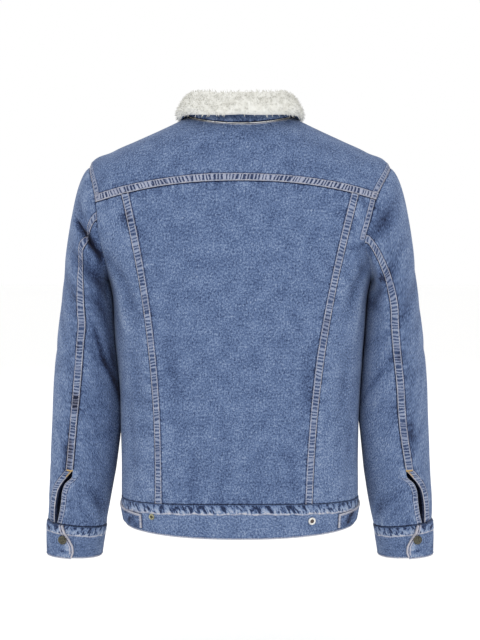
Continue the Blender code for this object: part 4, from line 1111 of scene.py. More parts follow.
def body_panel(name, node, place, felled, plain, seed, twin_ends=-1.0, wear_and_painted_light=0.0):
    """A wall of the body, with its felled sides and its plain seams."""
    points = body(place[..., 0], place[..., 1])
    normals = body_normal(place[..., 0], place[..., 1])
    fields = side_fields(points)
    fell, seam = nearest(fields, felled), nearest(fields, plain)
    across = place[..., 0] * AROUND_LENGTH
    creases = crease_depth(across, points[..., 2], BODY_FOLDS, BODY_SPAN)
    stains_and_painted_shadows = crease_depth(across, points[..., 2], BODY_PAINTED_SHADOWS, BODY_SPAN)
    height = slow_waves(across, points[..., 2], seed)
    rim = np.min([fields[side][0] for side in fields], axis=0)
    inward = -normals * WALL
    ease = np.zeros_like(points)
    edge = np.zeros(points.shape[:2], bool)
    edge[[0, -1]] = True
    edge[:, [0, -1]] = True
    twin = np.broadcast_to(np.array([1.0, 0.0]), (*points.shape[:2], 2)).copy()
    for side in (1, -1):
        around, far = armhole_near(side, mirrored(points, side))
        at_edge = (edge & (far < 0.0015))[..., None]
        inward = np.where(at_edge, mirrored(mitre(side, around), side) * WALL, inward)
        closer = (far < twin[..., 0]) & (points[..., 2] > twin_ends)
        twin[closer] = np.stack([far, around * 0.085 + 2 * side], -1)[closer]
    puckered = seam_height(*np.moveaxis(seam, -1, 0), seed + 3) if seam is not None else 0
    ridge = felled_height(*np.moveaxis(fell, -1, 0), seed + 5) if fell is not None else 0
    if "first" in felled:
        ridge = ridge * (1 + BULGE * np.exp(-((fields["high"][0] / 0.008) ** 2)))
    if not plain[:-1] and fell is not None:
        # piping along the neck seam
        seam[..., 1] += 9.0
        ridge = ridge + PIPING * np.exp(-(((seam[..., 0] - 0.0033) / 0.0009) ** 2))
    pucker = 0.0006 + 0.0005 * noise(twin[..., 1] / 0.0085, 0, seed + 7)
    hem = np.exp(-(((twin[..., 0] - 0.0055) / 0.0035) ** 2)) * pucker
    fine = puckered + ridge + hem
    held = smooth(rim, 0.0, 0.012)
    total = fine + (height - creases) * held
    outer = points + normals * total[..., None] + ease
    layers = {
        "cloth": level_cloth(fields, seed),
        "fell": fell,
        "seam": seam,
        "twin": twin,
        # ridge wear and painted light first; painted shade in the creases and painted shadows second
        "relief_and_painted_light": np.stack([fine * 1000 + wear_and_painted_light, creases * held * 1000 + stains_and_painted_shadows], -1),
    }
    inner = drawn_in(points + inward)
    made = wall(name, (node,), drawn_in(outer), inner, layers, ("denim", "lining", "shade"))
    return made, outer, normals, fields



def drawn_in(grid):
    grid = grid.copy()
    for axis in (0, 1):
        lines = np.swapaxes(grid, 0, axis)
        for edge, beside in ((0, 1), (-1, -2)):
            lines[edge] += SEAM_EASE * unit(lines[beside] - lines[edge])
    return grid


def seam_rows(cells, low_length, high_length):
    """Row shares of a panel: close at its two ends, even between, paced at the armpit."""
    middle = cells[0] / sum(cells)
    low = fine_shares(low_length)
    low = low[low < 1 - 0.0025 / low_length]
    high = fine_shares(high_length)
    high = np.concatenate([[0], high[high > 0.0025 / high_length]])
    return np.concatenate([low * middle, middle + high * (1 - middle)])


def back_centre():
    cells = (8, 7)
    left, right = paced(slant_seam(1), cells), paced(slant_seam(-1), cells)
    bottom = level_run(WAIST_LEVEL, left[0, 0], right[0, 0])
    top = yoke_seam(body(*left[-1, :2])[0], body(*right[-1, :2])[0])
    t = seam_rows(cells, 0.335, 0.155)
    ends = [body(*np.moveaxis(along(path, t), -1, 0)) for path in (left, right)]
    widths = np.linalg.norm(ends[1] - ends[0], axis=1) * 1.03
    count = len(fine_shares(widths.max(), first=True, last=True))
    close = fine_shares(1.0, first=True, last=True)
    start = np.array(close[:13])
    rows = []
    for width in widths:
        even = np.linspace(start[-1], width - start[-1], count - 24)[1:-1]
        rows.append(np.concatenate([start, even, (width - start)[::-1]]) / width)
    u = np.array(rows)
    place = patch(bottom, top, left, right, u, np.broadcast_to(t[:, None], u.shape))
    return body_panel("back_centre_cloth", "back_centre", place, ("first", "last"), ("low", "high"), 11)


def back_side(word, side):
    cells = (8, 7)
    edge = armhole_run(side, ARMPIT_STATION, YOKE_STATION)
    outer = join((side_seam(side), edge), cells)
    slant = paced(slant_seam(side), cells)
    bottom = level_run(WAIST_LEVEL, side * math.pi / 2, slant[0, 0])
    top = yoke_seam(body(*edge[-1, :2])[0], body(*slant[-1, :2])[0])
    t = seam_rows(cells, 0.340, 0.165)
    u, t = np.broadcast_arrays(fine_shares(0.105)[None], t[:, None])
    place = patch(bottom, top, outer, slant, u, t)
    node = f"back_side_{word}"
    return body_panel(node + "_cloth", node, place, (), ("low", "last", "high"), 21 + side,
                      twin_ends=TWIN_ENDS[side], wear_and_painted_light=SIDE_PAINTED_LIGHT)


def back_yoke():
    edges = [armhole_run(side, YOKE_STATION, 0) for side in (1, -1)]
    bottom = yoke_seam(body(*edges[0][0, :2])[0], body(*edges[1][0, :2])[0])
    neck = level_run(NECK_LEVEL, SHOULDER_SEAM_TURN, -SHOULDER_SEAM_TURN)
    over = measured(shoulder_seam(-1)[::-1, :2])
    cells = (SHOULDER_CELLS, NECK_CELLS, SHOULDER_CELLS)
    top = join((shoulder_seam(1), neck, over), cells)
    u = np.concatenate([
        np.linspace(0, 5 / 24, 45)[:-1], np.linspace(5 / 24, 19 / 24, 104)[:-1], np.linspace(19 / 24, 1, 45)
    ])
    heights = [lengths(body(*np.moveaxis(np.stack([a, b]), -1, 0))[None], 1)[0, -1] * 1.02
               for a, b in zip(along(bottom, u), along(top, u))]
    start = fine_shares(1.0, first=True)[:13]
    stop = np.array([0, 0.0008, 0.0018])
    columns = []
    for height in heights:
        even = np.linspace(start[-1], height - stop[-1], 30)[1:-1]
        columns.append(np.concatenate([start, even, (height - stop)[::-1]]) / height)
    t = np.array(columns).T
    marks = np.linspace(0, 1, len(t))
    edge_t = np.interp(marks, [0, 12 / (len(t) - 1), 1], [0, 2 / 7, 1])
    t[:, [0, -1]] = edge_t[:, None]
    u = np.broadcast_to(u[None], t.shape)
    place = patch(bottom, top, edges[0], edges[1], u, t)
    return body_panel("back_yoke_cloth", "back_yoke", place, ("low",), ("high",), 31)


def front(word, side, edge_x):
    cells = (8, 9)
    edge = armhole_run(side, ARMPIT_STATION, len(STATIONS[side]) - 1)
    outer = join((side_seam(side), edge), cells)
    z = np.linspace(RINGS[WAIST_LEVEL][6], RINGS[NECK_LEVEL][6] - 0.0005, 120)
    centre = on_front(np.full(120, edge_x), z, side)
    centre[0, 1], centre[-1, 1] = WAIST_LEVEL, NECK_LEVEL
    bottom = level_run(WAIST_LEVEL, side * math.pi / 2, centre[0, 0])
    neck = level_run(NECK_LEVEL, side * SHOULDER_SEAM_TURN, centre[-1, 0])
    top = join((shoulder_seam(side), neck), (SHOULDER_CELLS, FRONT_NECK_CELLS))
    t = seam_rows(cells, 0.340, 0.200)
    u, t = np.broadcast_arrays(fine_shares(0.250, 0.0052)[None], t[:, None])
    place = patch(bottom, top, outer, paced(measured(centre), cells), u, t, TOP_HOLD)
    return body_panel(f"front_{word}_cloth", f"front_{word}", place, (), ("low", "first", "high"), 41 + side,
                      twin_ends=FRONT_TWIN_END)


# ---------------------------------------------------------------- strips on the body
def strip(name, node, place, lift, thickness, seed, finish="trim",
          roped=0.0, shadows=0.0, sides=("low", "high", "first", "last"), fill=0.0):
    points = body(place[..., 0], place[..., 1])
    normals = body_normal(place[..., 0], place[..., 1])
    fields = side_fields(points)
    lift = np.broadcast_to(lift, points.shape[:2])
    top, along_top = fields["high"]
    fine = edge_relief(fields, seed)
    zone = smooth(top, 0.0010, 0.0030) * (1 - smooth(top, 0.0120, 0.0165)) * roped
    knots = noise(along_top / 0.0062 + top / 0.010, top / 0.011, seed + 1)
    wavy = 0.0153 + 0.0023 * noise(along_top / 0.020, 0, seed + 2)
    ridge = np.exp(-(((top - wavy) / 0.0016) ** 2)) * smooth(noise(along_top / 0.012, 4, seed + 3), -0.6, 0.2)
    fine = fine + zone * 0.0009 * knots + roped * ridge * 0.0010
    outer = points + normals * (lift + thickness + fine)[..., None]
    layers = {
        "cloth": np.stack([place[..., 0] * AROUND_LENGTH, points[..., 2]], -1),
        "fell": nearest(fields, sides),
        "seam": nearest(fields, ("high",)) if roped else None,
        "relief_and_painted_light": np.stack([fine * 1000 + STRIP_WEAR * roped, fine * 0 + shadows], -1),
    }
    seat = np.broadcast_to(lift - fill, points.shape[:2])
    made = wall(name, (node,), outer, points + normals * seat[..., None], layers, (finish, "shade", finish))
    return made, outer, normals, fields


STRIP_WEAR = 0.7


def edge_relief(fields, seed):
    """Rounded edges of a stitched strip, with a shallow groove where it is sewn."""
    rim = np.min([fields[side][0] for side in fields], axis=0)
    at = fields["high"][1]
    round_edge = -0.0006 * (1 - smooth(rim, 0.0, 0.0014))
    groove = -0.00025 * np.exp(-(((rim - 0.0028) / 0.0009) ** 2))
    return round_edge + groove + 0.00018 * noise(at / 0.009, rim / 0.010, seed)


def waistband():
    turns = np.linspace(WAIST_UNDER_END, WAIST_OVER_END, 380)
    lap = smooth(turns, *WAIST_LAP_RAMP) * WAIST_LAP_RISE
    height = 0.0475
    share = fine_shares(height, 0.0022)
    levels = WAIST_TOP_LEVEL * share
    turn, level = np.meshgrid(turns, levels)
    lift = WAIST_RISE + lap[None] - BAND_WALL
    # the turned-in cloth of the upper end, up to where the lower end lies under it
    fill = lap * (1 - smooth(turns, *WAIST_FILL_END))
    shadows = np.zeros(turn.shape)
    for side in (1, -1):
        # the tab's shadow on the cloth beside it
        low, high = sorted((tab_end(side), side * TAB_FROM_TURN))
        share = (turn - side * TAB_FROM_TURN) / (tab_end(side) - side * TAB_FROM_TURN)
        top = TAB_TOP - TAB_TAPER * share
        beside = np.maximum(low - turn, turn - high) * AROUND_LENGTH
        over = np.maximum(level - top, TAB_BOTTOM - level) * height
        off = np.hypot(np.maximum(beside, 0), np.maximum(over, 0))
        shadows += TAB_SHADOW * np.exp(-((off / 0.0020) ** 2))
    return strip("waistband_cloth", "waistband", np.stack([turn, level], -1), lift, BAND_WALL, 51, "band",
                 roped=1.0, shadows=shadows, sides=("low",), fill=fill[None])


TAB_SHADOW = 6.5
WAIST_FILL_END = (2.990, 3.012)


def tab_end(side):
    return on_back(np.array([side * TAB_TO_X]), np.array([TAB_Z]))[0, 0]


def waist_tab(word, side):
    share = fine_shares(0.090, 0.0026)
    turns = side * TAB_FROM_TURN + (tab_end(side) - side * TAB_FROM_TURN) * share
    top = TAB_TOP - TAB_TAPER * share
    rows = fine_shares(0.030, 0.0024)
    level = TAB_BOTTOM + (top - TAB_BOTTOM)[None] * rows[:, None]
    place = np.stack([np.broadcast_to(turns, level.shape), level], -1)
    x, y = share[None] * 0.090, rows[:, None] * 0.030
    spots = smooth(noise(x / 0.004, y / 0.008, 63 + side), -0.7, 0.4)
    # painted shadow on the tab near its raised end
    painted_end_shadow = 10.0 * np.exp(-(((x - 0.077 + 0.3 * y) / 0.008) ** 2)) * spots
    node = f"waist_tab_{word}"
    return strip(node + "_cloth", node, place, WAIST_RISE + LAY_GAP, TRIM_WALL, 61 + side,
                 shadows=painted_end_shadow, sides=("high", "last"))


def front_band():
    low, high = BAND_ENDS
    length = 0.515
    foot, head = RINGS[WAIST_LEVEL][6], RINGS[NECK_LEVEL][6]
    z = foot + low + (head - high - foot - low) * fine_shares(length)
    x = -BAND_EDGE + (2 * BAND_EDGE + BAND_LAP) * fine_shares(0.046, 0.0026)
    xs, zs = np.meshgrid(x, z)
    return strip("front_band_cloth", "front_band", on_front(xs, zs, 1), LAY_GAP, TRIM_WALL, 71)


# ---------------------------------------------------------------- sleeves and cuffs
SLEEVE_DOWN = np.concatenate([
    [0, 0.006, 0.014],
    np.linspace(0.03, 1, 92)[:-1],
    np.linspace(1, CUFF_DOWN, 100)[:-3],
    [7.93, 7.975, CUFF_DOWN],
])


# The left sleeve's seam is folded here.
SEAM_JOG, SEAM_JOG_DOWN, SEAM_JOG_REACH = math.radians(9), 0.49, (0.085, 0.130)


def back_seam_around(side, down):
    around = np.radians(read(BACK_SEAM, down)[..., 0 if side > 0 else 1])
    off = (down - SEAM_JOG_DOWN) / np.where(down < SEAM_JOG_DOWN, *SEAM_JOG_REACH)
    return around - SEAM_JOG * np.exp(-(off**2)) if side > 0 else around


def vent_edge(side, down, piece):
    seam = back_seam_around(side, down)
    here = plain_sleeve(side, seam, down)
    below = np.clip(VENT_TOP_Z - here[..., 2], 0, VENT[-1][0])
    outward = read(VENT, below)[..., piece]
    arc = np.linalg.norm(plain_sleeve(side, seam + TINY, down) - here, axis=-1) / TINY
    return seam - outward / arc


INNER_SHADE_AROUND, INNER_PAINTED_SHADE = (-0.25, 0.75), {1: 0.8, -1: -1.8}  # painted shade on the side towards the body; a negative depth paints light there
OUTER_PAINTED_LIGHT = {1: 1.3, -1: 1.0}  # painted light on its outer side
TOUCH = (
    # height, how far it swells against the body
    (-0.600, 0.0), (-0.520, 0.0), (-0.500, 0.0002), (-0.480, 0.0016), (-0.340, 0.0018), (-0.320, 0.0023),
    (-0.305, 0.0028), (-0.293, 0.0035), (-0.281, 0.0048), (-0.269, 0.0058), (-0.257, 0.0046), (-0.243, 0.0),
    (-0.200, 0.0),
)
FACING_SHARE = 1.35  # the felled band's width over the facing's in the vent
BOUNDARY_SHADE = {1: 3.0, -1: -1.2}  # painted shade on the sleeve beside the armhole's hidden part; a negative value paints light there
SOFT_ARMHOLE_Z = {1: -0.166, -1: -0.184}  # below this height the armhole's seam is in a fold at the back
# Painted shadows in the sleeves' folds and beside the body, as lines.
SLEEVE_PAINTED_SHADOWS = {
    # around in degrees, z, around, z, how dark, width
    1: (
        (110, -0.232, 146, -0.268, 3.0, 0.010),
        (124, -0.262, 152, -0.345, 3.6, 0.011),
        (112, -0.320, 132, -0.380, 7.5, 0.0055),
        (128, -0.372, 152, -0.412, 9.0, 0.0060),
        (146, -0.350, 158, -0.400, 6.0, 0.0080),
        (148, -0.402, 176, -0.452, 9.0, 0.0080),
        (168, -0.440, 176, -0.525, 6.0, 0.0090),
        (66, -0.498, 66, -0.556, 8.0, 0.010),
        (77, -0.424, 76, -0.458, 6.5, 0.008),
        (80, -0.338, 80, -0.360, 5.0, 0.006),
        (20, -0.118, 62, -0.152, 2.0, 0.012),
    ),
    -1: (
        (32, -0.104, 84, -0.162, 2.6, 0.011),
        (128, -0.290, 176, -0.282, 5.0, 0.010),
        (160, -0.290, 176, -0.330, 3.6, 0.010),
        (160, -0.330, 174, -0.440, 1.6, 0.010),
        (94, -0.362, 164, -0.452, 4.0, 0.006),
        (168, -0.338, 172, -0.372, 7.0, 0.006),
        (66, -0.474, 66, -0.512, 7.0, 0.008),
        (88, -0.352, 86, -0.384, 4.5, 0.007),
        (108, -0.190, 112, -0.215, 4.0, 0.008),
    ),
}
# A sharp fold across the back of the left sleeve: a groove under a swollen edge.
SHARP_FOLD = (
    # around in degrees, z
    (30, -0.147), (62, -0.169), (85, -0.180), (104, -0.192), (119, -0.205), (130, -0.220),
)


def sharp_fold(around, z):
    """How deep the fold is, and the painted shadow on the cloth under its edge."""
    line = np.array(SHARP_FOLD) * [math.radians(1) * CREASE_SPAN, 1]
    x = (np.mod(around + math.pi / 2, 2 * math.pi) - math.pi / 2) * CREASE_SPAN
    off = (z - np.interp(x, line[:, 0], line[:, 1])) * 0.82
    begun = smooth(x, line[0, 0] - 0.004, line[0, 0] + 0.022)
    ends = begun * (1 - smooth(x, line[-1, 0] - 0.012, line[-1, 0] + 0.003))
    groove = 0.0072 * np.exp(-((off / 0.0032) ** 2))
    swell = 0.0034 * np.exp(-(((off - 0.0100) / 0.0058) ** 2))
    spread = np.where(off > 0, 0.0018, 0.0035 + 0.0075 * smooth(x, line[1, 0], line[-1, 0]))
    return ends * (groove - swell), 5.5 * ends * np.exp(-(((off + 0.0008) / spread) ** 2))


def sleeve_piece(kind, word, side, edge, far_edge, seed):
    upper = kind == "upper"
    width = np.abs(far_edge - edge) * CREASE_SPAN
    count = 96 if upper else 46
    start = fine_shares(1.0, first=True)[:13]
    stop = np.array([0, 0.0008, 0.0018])
    rows = []
    for length in width:
        even = start[-1] + (length - stop[-1] - start[-1]) * np.linspace(0, 1, count)[1:-1] ** 1.3
        rows.append(np.concatenate([start, even, (length - stop)[::-1]]) / length)
    u = np.array(rows)
    around = edge[:, None] + u * (far_edge - edge)[:, None]
    down = np.broadcast_to(SLEEVE_DOWN[:, None], around.shape)
    points = sleeve(side, around, down)
    normals = sleeve_normal(sleeve, side, around, down)
    inward = np.where(down[..., None] <= 0, mitre(side, around), -normals)
    fields = side_fields(points)
    z = points[..., 2]
    off, at = fields["first"]
    vent = smooth(VENT_TOP_Z - z, -0.004, 0.004)
    faint = np.where(vent > 0.5, 1.0, 0.0)
    seam_sides = ("low", "high", "last") if upper else ("low", "high")
    soft = smooth(SOFT_ARMHOLE_Z[side] - z, -0.003, 0.003) * smooth(points[..., 1], 0.0, 0.02)
    boundary = soft * np.exp(-fields["low"][0] / 0.010)
    fading = {**fields, "low": (fields["low"][0] + soft, fields["low"][1])}
    seam = nearest(fading, seam_sides)
    if upper:
        fell = np.stack([off, at], -1)
        fine = felled_height(off, at, seed + 2)
    else:
        low_enough = z < VENT_TOP_Z - 0.010
        fell = np.stack([np.where(low_enough, FACING_SHARE * off, 1.0), at], -1)
        joined = np.stack([np.where(faint > 0, 1.0, off), at], -1)
        closer = joined[..., 0] < seam[..., 0]
        seam = np.where(closer[..., None], joined, seam)
        fine = felled_height(off, at, seed + 2) * faint
    fine = fine + seam_height(seam[..., 0], seam[..., 1], seed + 4)
    rim = np.min([fields[s][0] for s in fields], axis=0)
    held = smooth(rim, 0.0, 0.012)
    height = slow_waves(around * CREASE_SPAN, z, seed)
    creases = sleeve_creases(side, around, z) * np.clip(down / CREASE_FADES[0], 0, 1)
    inner_side = smooth(-np.cos(around), *INNER_SHADE_AROUND)
    table = np.array(TOUCH)
    touch = smooth(-np.cos(around), 0.88, 0.98) * np.interp(z, table[:, 0], table[:, 1])
    # painted shade: on the side towards the body, beside the armhole's hidden part, in the folds and under
    # the sharp fold's edge; negative values paint light
    painted_shade = INNER_PAINTED_SHADE[side] * inner_side * (1 - 0.45 * smooth(-z, 0.46, 0.60))
    painted_shade = painted_shade + BOUNDARY_SHADE[side] * boundary
    painted_shade = painted_shade + crease_depth(around * CREASE_SPAN, z, in_lengths(SLEEVE_PAINTED_SHADOWS[side]), SLEEVE_SPAN)
    if side > 0:
        painted_shade = painted_shade + sharp_fold(around, z)[1]
    # painted light on the outer side; the vent's edges below are really worn pale
    wear_and_painted_light = OUTER_PAINTED_LIGHT[side] * smooth(np.cos(around), 0.1, 0.9)
    if upper:
        wear_and_painted_light = wear_and_painted_light + 3.5 * faint * np.exp(-((off / 0.0022) ** 2))
    else:
        wear_and_painted_light = wear_and_painted_light + 0.6 * faint * (off < 0.009)
    outer = points + normals * (fine + height * held + touch)[..., None]
    layers = {
        "cloth": level_cloth(fields, seed),
        "fell": fell,
        "seam": seam,
        "relief_and_painted_light": np.stack([fine * 1000 + wear_and_painted_light, creases * 1000 + painted_shade], -1),
    }
    outer, inner = mirrored(outer, side), mirrored(points + inward * WALL, side)
    node = f"sleeve_{kind}_{word}"
    made = wall(node + "_cloth", (node,), drawn_in(outer), drawn_in(inner), layers,
                ("denim", "shade", "shade"))
    return made, outer, mirrored(normals, side), fields


CUFF_FILL_GAP = math.radians(1.5)
# Paler and darker places of the cuffs, as lines.
CUFF_WEAR = (
    # around in degrees, z, around, z, how pale, width
    (434, -0.676, 442, -0.694, 5.0, 0.0045),
    (418, -0.698, 446, -0.699, 4.0, 0.0030),
    (386, -0.662, 404, -0.690, 2.5, 0.0060),
    (470, -0.676, 520, -0.672, 1.6, 0.0060),
)
CUFF_STAINS = (
    # around in degrees, z, around, z, how dark, width
    (428, -0.662, 443, -0.674, 8.0, 0.0028),
    (424, -0.690, 448, -0.693, 6.0, 0.0016),
    (460, -0.662, 466, -0.702, 3.5, 0.0060),
    (494, -0.664, 502, -0.704, 3.0, 0.0080),
    (396, -0.664, 390, -0.700, 3.0, 0.0050),
)


def cuff(word, side):
    rows = CUFF_DOWN + 0.02 + (CUFF_END - CUFF_DOWN - 0.02) * fine_shares(0.054, 0.0022)
    share = (rows - rows[0]) / (rows[-1] - rows[0])
    steps = np.linspace(0, 1, CUFF_STEPS)
    ends = 2 * math.pi + np.interp(share, steps, np.radians(read(CUFF_LAP_EDGE, steps)[:, 0]))
    u = fine_shares(0.33, 0.0025)
    around = CUFF_UNDER_START + (ends[:, None] - CUFF_UNDER_START) * u[None]
    down = np.broadcast_to(rows[:, None], around.shape)
    lap = smooth(around, 2 * math.pi, 2 * math.pi + CUFF_LAP_RAMP) * CUFF_LAP_RISE
    normals = tube_normal(around, down)
    points = tube(around, down) + normals * (CUFF_RISE + lap)[..., None]
    fields = side_fields(points)
    fields["low"], fields["high"] = fields["high"], fields["low"]
    top, along_top = fields["high"]
    seed = 81 + side
    fine = edge_relief(fields, seed)
    zone = smooth(top, 0.0010, 0.0030) * (1 - smooth(top, 0.0120, 0.0165))
    knots = noise(along_top / 0.0062 + top / 0.010, top / 0.011, seed + 1)
    fine = fine + zone * 0.0008 * knots
    wear, stains_and_painted_shadows = [crease_depth(around * CREASE_SPAN, points[..., 2], in_lengths(lines), 2 * SLEEVE_SPAN)
                    for lines in (CUFF_WEAR, CUFF_STAINS)]
    outer = points + normals * fine[..., None]
    layers = {
        "cloth": np.stack([around * CREASE_SPAN, points[..., 2]], -1),
        "fell": nearest(fields, ("low", "last")),
        "seam": nearest(fields, ("high",)),
        "relief_and_painted_light": np.stack([fine * 1000 + wear, fine * 0 + stains_and_painted_shadows], -1),
    }
    fill_end = 2 * math.pi + CUFF_UNDER_START - CUFF_FILL_GAP
    fill = lap * (1 - smooth(around, 2 * math.pi + CUFF_LAP_RAMP, fill_end))
    outer = mirrored(outer, side)
    inner = mirrored(points - normals * (BAND_WALL + fill)[..., None], side)
    made = wall(f"cuff_{word}_cloth", (f"cuff_{word}",), outer, inner, layers, ("band", "shade", "band"))
    return made, outer, mirrored(normals, side), fields


# ---------------------------------------------------------------- collar
def collar_line(turn, shares):
    """The folded under collar's middle line at each turn, at shares of the way from seam to edge."""
    turns = np.degrees(np.abs(turn))
    rise, lean, leaf_spread, drop = np.moveaxis(read(COLLAR, turns), -1, 0)
    point_turn = turn * (1 - COLLAR_POINT_SPREAD * np.abs(turn / math.pi) ** 3)
    neck = np.full_like(turn, NECK_LEVEL)
    flat = [1, 1, 0]
    up = np.array([0, 0, 1.0])
    seam, out = body(turn, neck), unit(body_normal(turn, neck) * flat)
    tip_seam, tip_out = body(point_turn, neck), unit(body_normal(point_turn, neck) * flat)
    top = seam - out * lean[:, None] + up * rise[:, None]
    fold = top + (out - up) * COLLAR_FOLD
    tip = tip_seam + tip_out * leaf_spread[:, None]
    tip[:, 2] = top[:, 2] - drop
    start = seam + up * STAND_SEAT
    angles = np.radians(np.linspace(180, 30, 7))
    bends = [fold + COLLAR_FOLD * (out * math.cos(a) + up * math.sin(a)) for a in angles]
    stand = [start + (bends[0] - start) * share for share in (0, 0.2, 0.4, 0.6, 0.8)]
    leaf = []
    for share in np.linspace(0, 1, 11)[1:]:
        bow = LEAF_BOW * math.sin(math.pi * share)
        leaf.append(bends[-1] + (tip - bends[-1]) * share + out * bow)
    line = np.stack(stand + bends + leaf, 1)
    keys = lengths(line, 1) / lengths(line, 1)[:, -1:]
    picked = np.empty((len(turn), len(shares), 3))
    for row, (path, key) in enumerate(zip(line, keys)):
        for axis in range(3):
            picked[row, :, axis] = np.interp(shares, key, path[:, axis])
    return picked


def collar_frame(columns, count):
    turns = np.linspace(-COLLAR_END, COLLAR_END, columns)
    line = collar_line(turns, np.linspace(0, 1, count))
    outward = unit(np.cross(np.gradient(line, axis=0), np.gradient(line, axis=1)))
    top = int(np.argmax(line[columns // 2, :, 2]))
    if outward[columns // 2, top, 2] < 0:
        outward = -outward
    for _ in range(2):
        outward[:, 1:-1] = unit(outward[:, :-2] + 2 * outward[:, 1:-1] + outward[:, 2:])
    return line, outward


PILE_BASE = 0.0080
COLLAR_COLUMNS, COLLAR_ROWS = 240, 30
TUFTS = 1800  # on each half of the collar
LOCK_SINK = 0.0010  # how far a lock's root is sunk into the fleece
LOCK_LENGTH, LOCK_LENGTH_MORE = 0.0052, 0.0022
LOCK_RADIUS, LOCK_RADIUS_MORE = 0.00050, 0.00030
LOCK_CURL = 0.0013


def collar():
    line, outward = collar_frame(COLLAR_COLUMNS, COLLAR_ROWS)
    fields = side_fields(line)
    seam = nearest(fields, ("first",))
    tucks = seam_height(seam[..., 0], seam[..., 1], 91) * 1.4
    unfaded = 5.0 * noise(fields["first"][1] / 0.016, fields["first"][0] / 0.020, 92)
    outer = line + outward * UNDER_COLLAR_HALF
    inner = line - outward * (UNDER_COLLAR_HALF + tucks[..., None])
    layers = {
        "cloth": np.stack(fields["first"][::-1], -1),
        "seam": seam,
        "relief_and_painted_light": np.stack([tucks * 1000, unfaded], -1),
    }
    wall("collar_under_cloth", ("collar_under",), outer, inner, layers, ("denim", "denim", "denim"))
    at = fields["first"][1]
    off = fields["first"][0]
    lumps = 0.0011 * noise(at / 0.011, off / 0.011, 95) + 0.0007 * noise(at / 0.005, off / 0.005, 96)
    rim = np.min([fields[side][0] for side in fields], axis=0)
    swell = np.sqrt(smooth(rim, -0.0004, 0.008))
    thick = SHERPA_FROM + 0.0008 + (PILE_BASE - SHERPA_FROM - 0.0008 + lumps) * swell
    layers = {"cloth": np.stack([at, off], -1), "relief_and_painted_light": np.stack([lumps * 1000, lumps * 0], -1)}
    outer, inner = line + outward * thick[..., None], line + outward * SHERPA_FROM
    wall("collar_fleece", ("collar_sherpa",), outer, inner, layers, ("pile", "lining", "pile"))
    return line, outward, thick


def tufts(name, line, outward, thick, first, last, count, seed):
    """Curly locks of pile over part of the collar, each a thin bent cone."""
    chance = np.random.default_rng(seed)
    columns, rows = line.shape[:2]
    weights = (lengths(line, 1)[first:last, -1])
    column = first + chance.choice(last - first, count, p=weights / weights.sum()) + chance.random(count)
    column = np.clip(column, 0, columns - 1.001)
    row = chance.random(count) ** 0.94 * (rows - 1.001)
    i, j = column.astype(int), row.astype(int)
    a, b = (column - i)[:, None], (row - j)[:, None]

    def pick(grid):
        """The grid's value at each lock's root, between its four nearest points."""
        here = grid[i, j] * (1 - b) + grid[i, j + 1] * b
        there = grid[i + 1, j] * (1 - b) + grid[i + 1, j + 1] * b
        return here * (1 - a) + there * a

    normal, root = unit(pick(outward)), pick(line)
    root = root + normal * (pick(thick[..., None]) - LOCK_SINK)
    downward = unit(np.gradient(line, axis=1))[i, j]
    sideways = np.cross(normal, downward)
    edge = smooth(row / (rows - 1), 0.90, 1.0)[:, None]
    lean = chance.normal(0, 0.55, (count, 2)) * (1 - 0.55 * edge)
    drop = downward * (lean[:, :1] + 0.15 + 1.1 * edge)
    way = unit(normal * (1 - 0.6 * edge) + drop + sideways * lean[:, 1:])
    reach = LOCK_LENGTH + LOCK_LENGTH_MORE * chance.random((count, 1))
    reach = reach * (1 + 0.10 * edge * chance.random((count, 1)))
    side_a = unit(np.cross(way, normal + 0.3 * downward + 1e-3))
    side_b = np.cross(way, side_a)
    phase = chance.random((count, 1)) * 2 * math.pi
    spin = (1.4 + chance.random((count, 1))) * np.where(chance.random((count, 1)) < 0.5, -1, 1) * math.pi
    radius = (LOCK_RADIUS + LOCK_RADIUS_MORE * chance.random((count, 1))) * (1 - 0.15 * edge)
    rings = []
    for step, thickness in ((0.0, 1.0), (0.5, 1.0), (1.0, 0.15)):
        curl = LOCK_CURL * step * (1 - 0.7 * edge)
        centre = (
            root + way * reach * step * (1 - 0.12 * step)
            + curl * (np.cos(phase + spin * step) * side_a + np.sin(phase + spin * step) * side_b)
        )
        for k in range(3):
            angle = phase + 2 * math.pi * k / 3
            rings.append(centre + radius * thickness * (np.cos(angle) * side_a + np.sin(angle) * side_b))
    points = np.stack(rings, 1).reshape(-1, 3)
    around = ((0, 1), (1, 2), (2, 0))
    cell = [(ring + k, ring + n, ring + 3 + n, ring + 3 + k) for ring in (0, 3) for k, n in around]
    faces = (np.arange(count)[:, None, None] * 9 + np.array(cell)[None]).reshape(-1, 4)
    uv = np.stack([root[:, 0] + root[:, 1], root[:, 2]], -1).repeat(9, 0)
    made = make_object(name, points, faces, {"cloth": uv}, ("pile",), smooth_angle=180)
    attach(made, "root")
    return made


# ---------------------------------------------------------------- stitching
THREAD, STITCH_PITCH, STITCH_SHARE = 0.00042, 0.0036, 0.80


def line_at(points, normals, off, axis, value):
    """The line of a grid where its distance from a side is value; off grows along the axis."""
    if axis == 0:
        points, normals, off = (np.swapaxes(a, 0, 1) for a in (points, normals, off))
    found = []
    for place, normal, distance in zip(points, normals, off):
        key = distance if distance[-1] > distance[0] else distance[::-1]
        steps = np.arange(len(key)) if distance[-1] > distance[0] else np.arange(len(key))[::-1]
        at = np.interp(value, key, steps)
        i = min(int(at), len(key) - 2)
        share = at - i
        found.append(np.concatenate([place[i] * (1 - share) + place[i + 1] * share, normal[i]]))
    found = np.array(found)
    return found[:, :3], found[:, 3:]


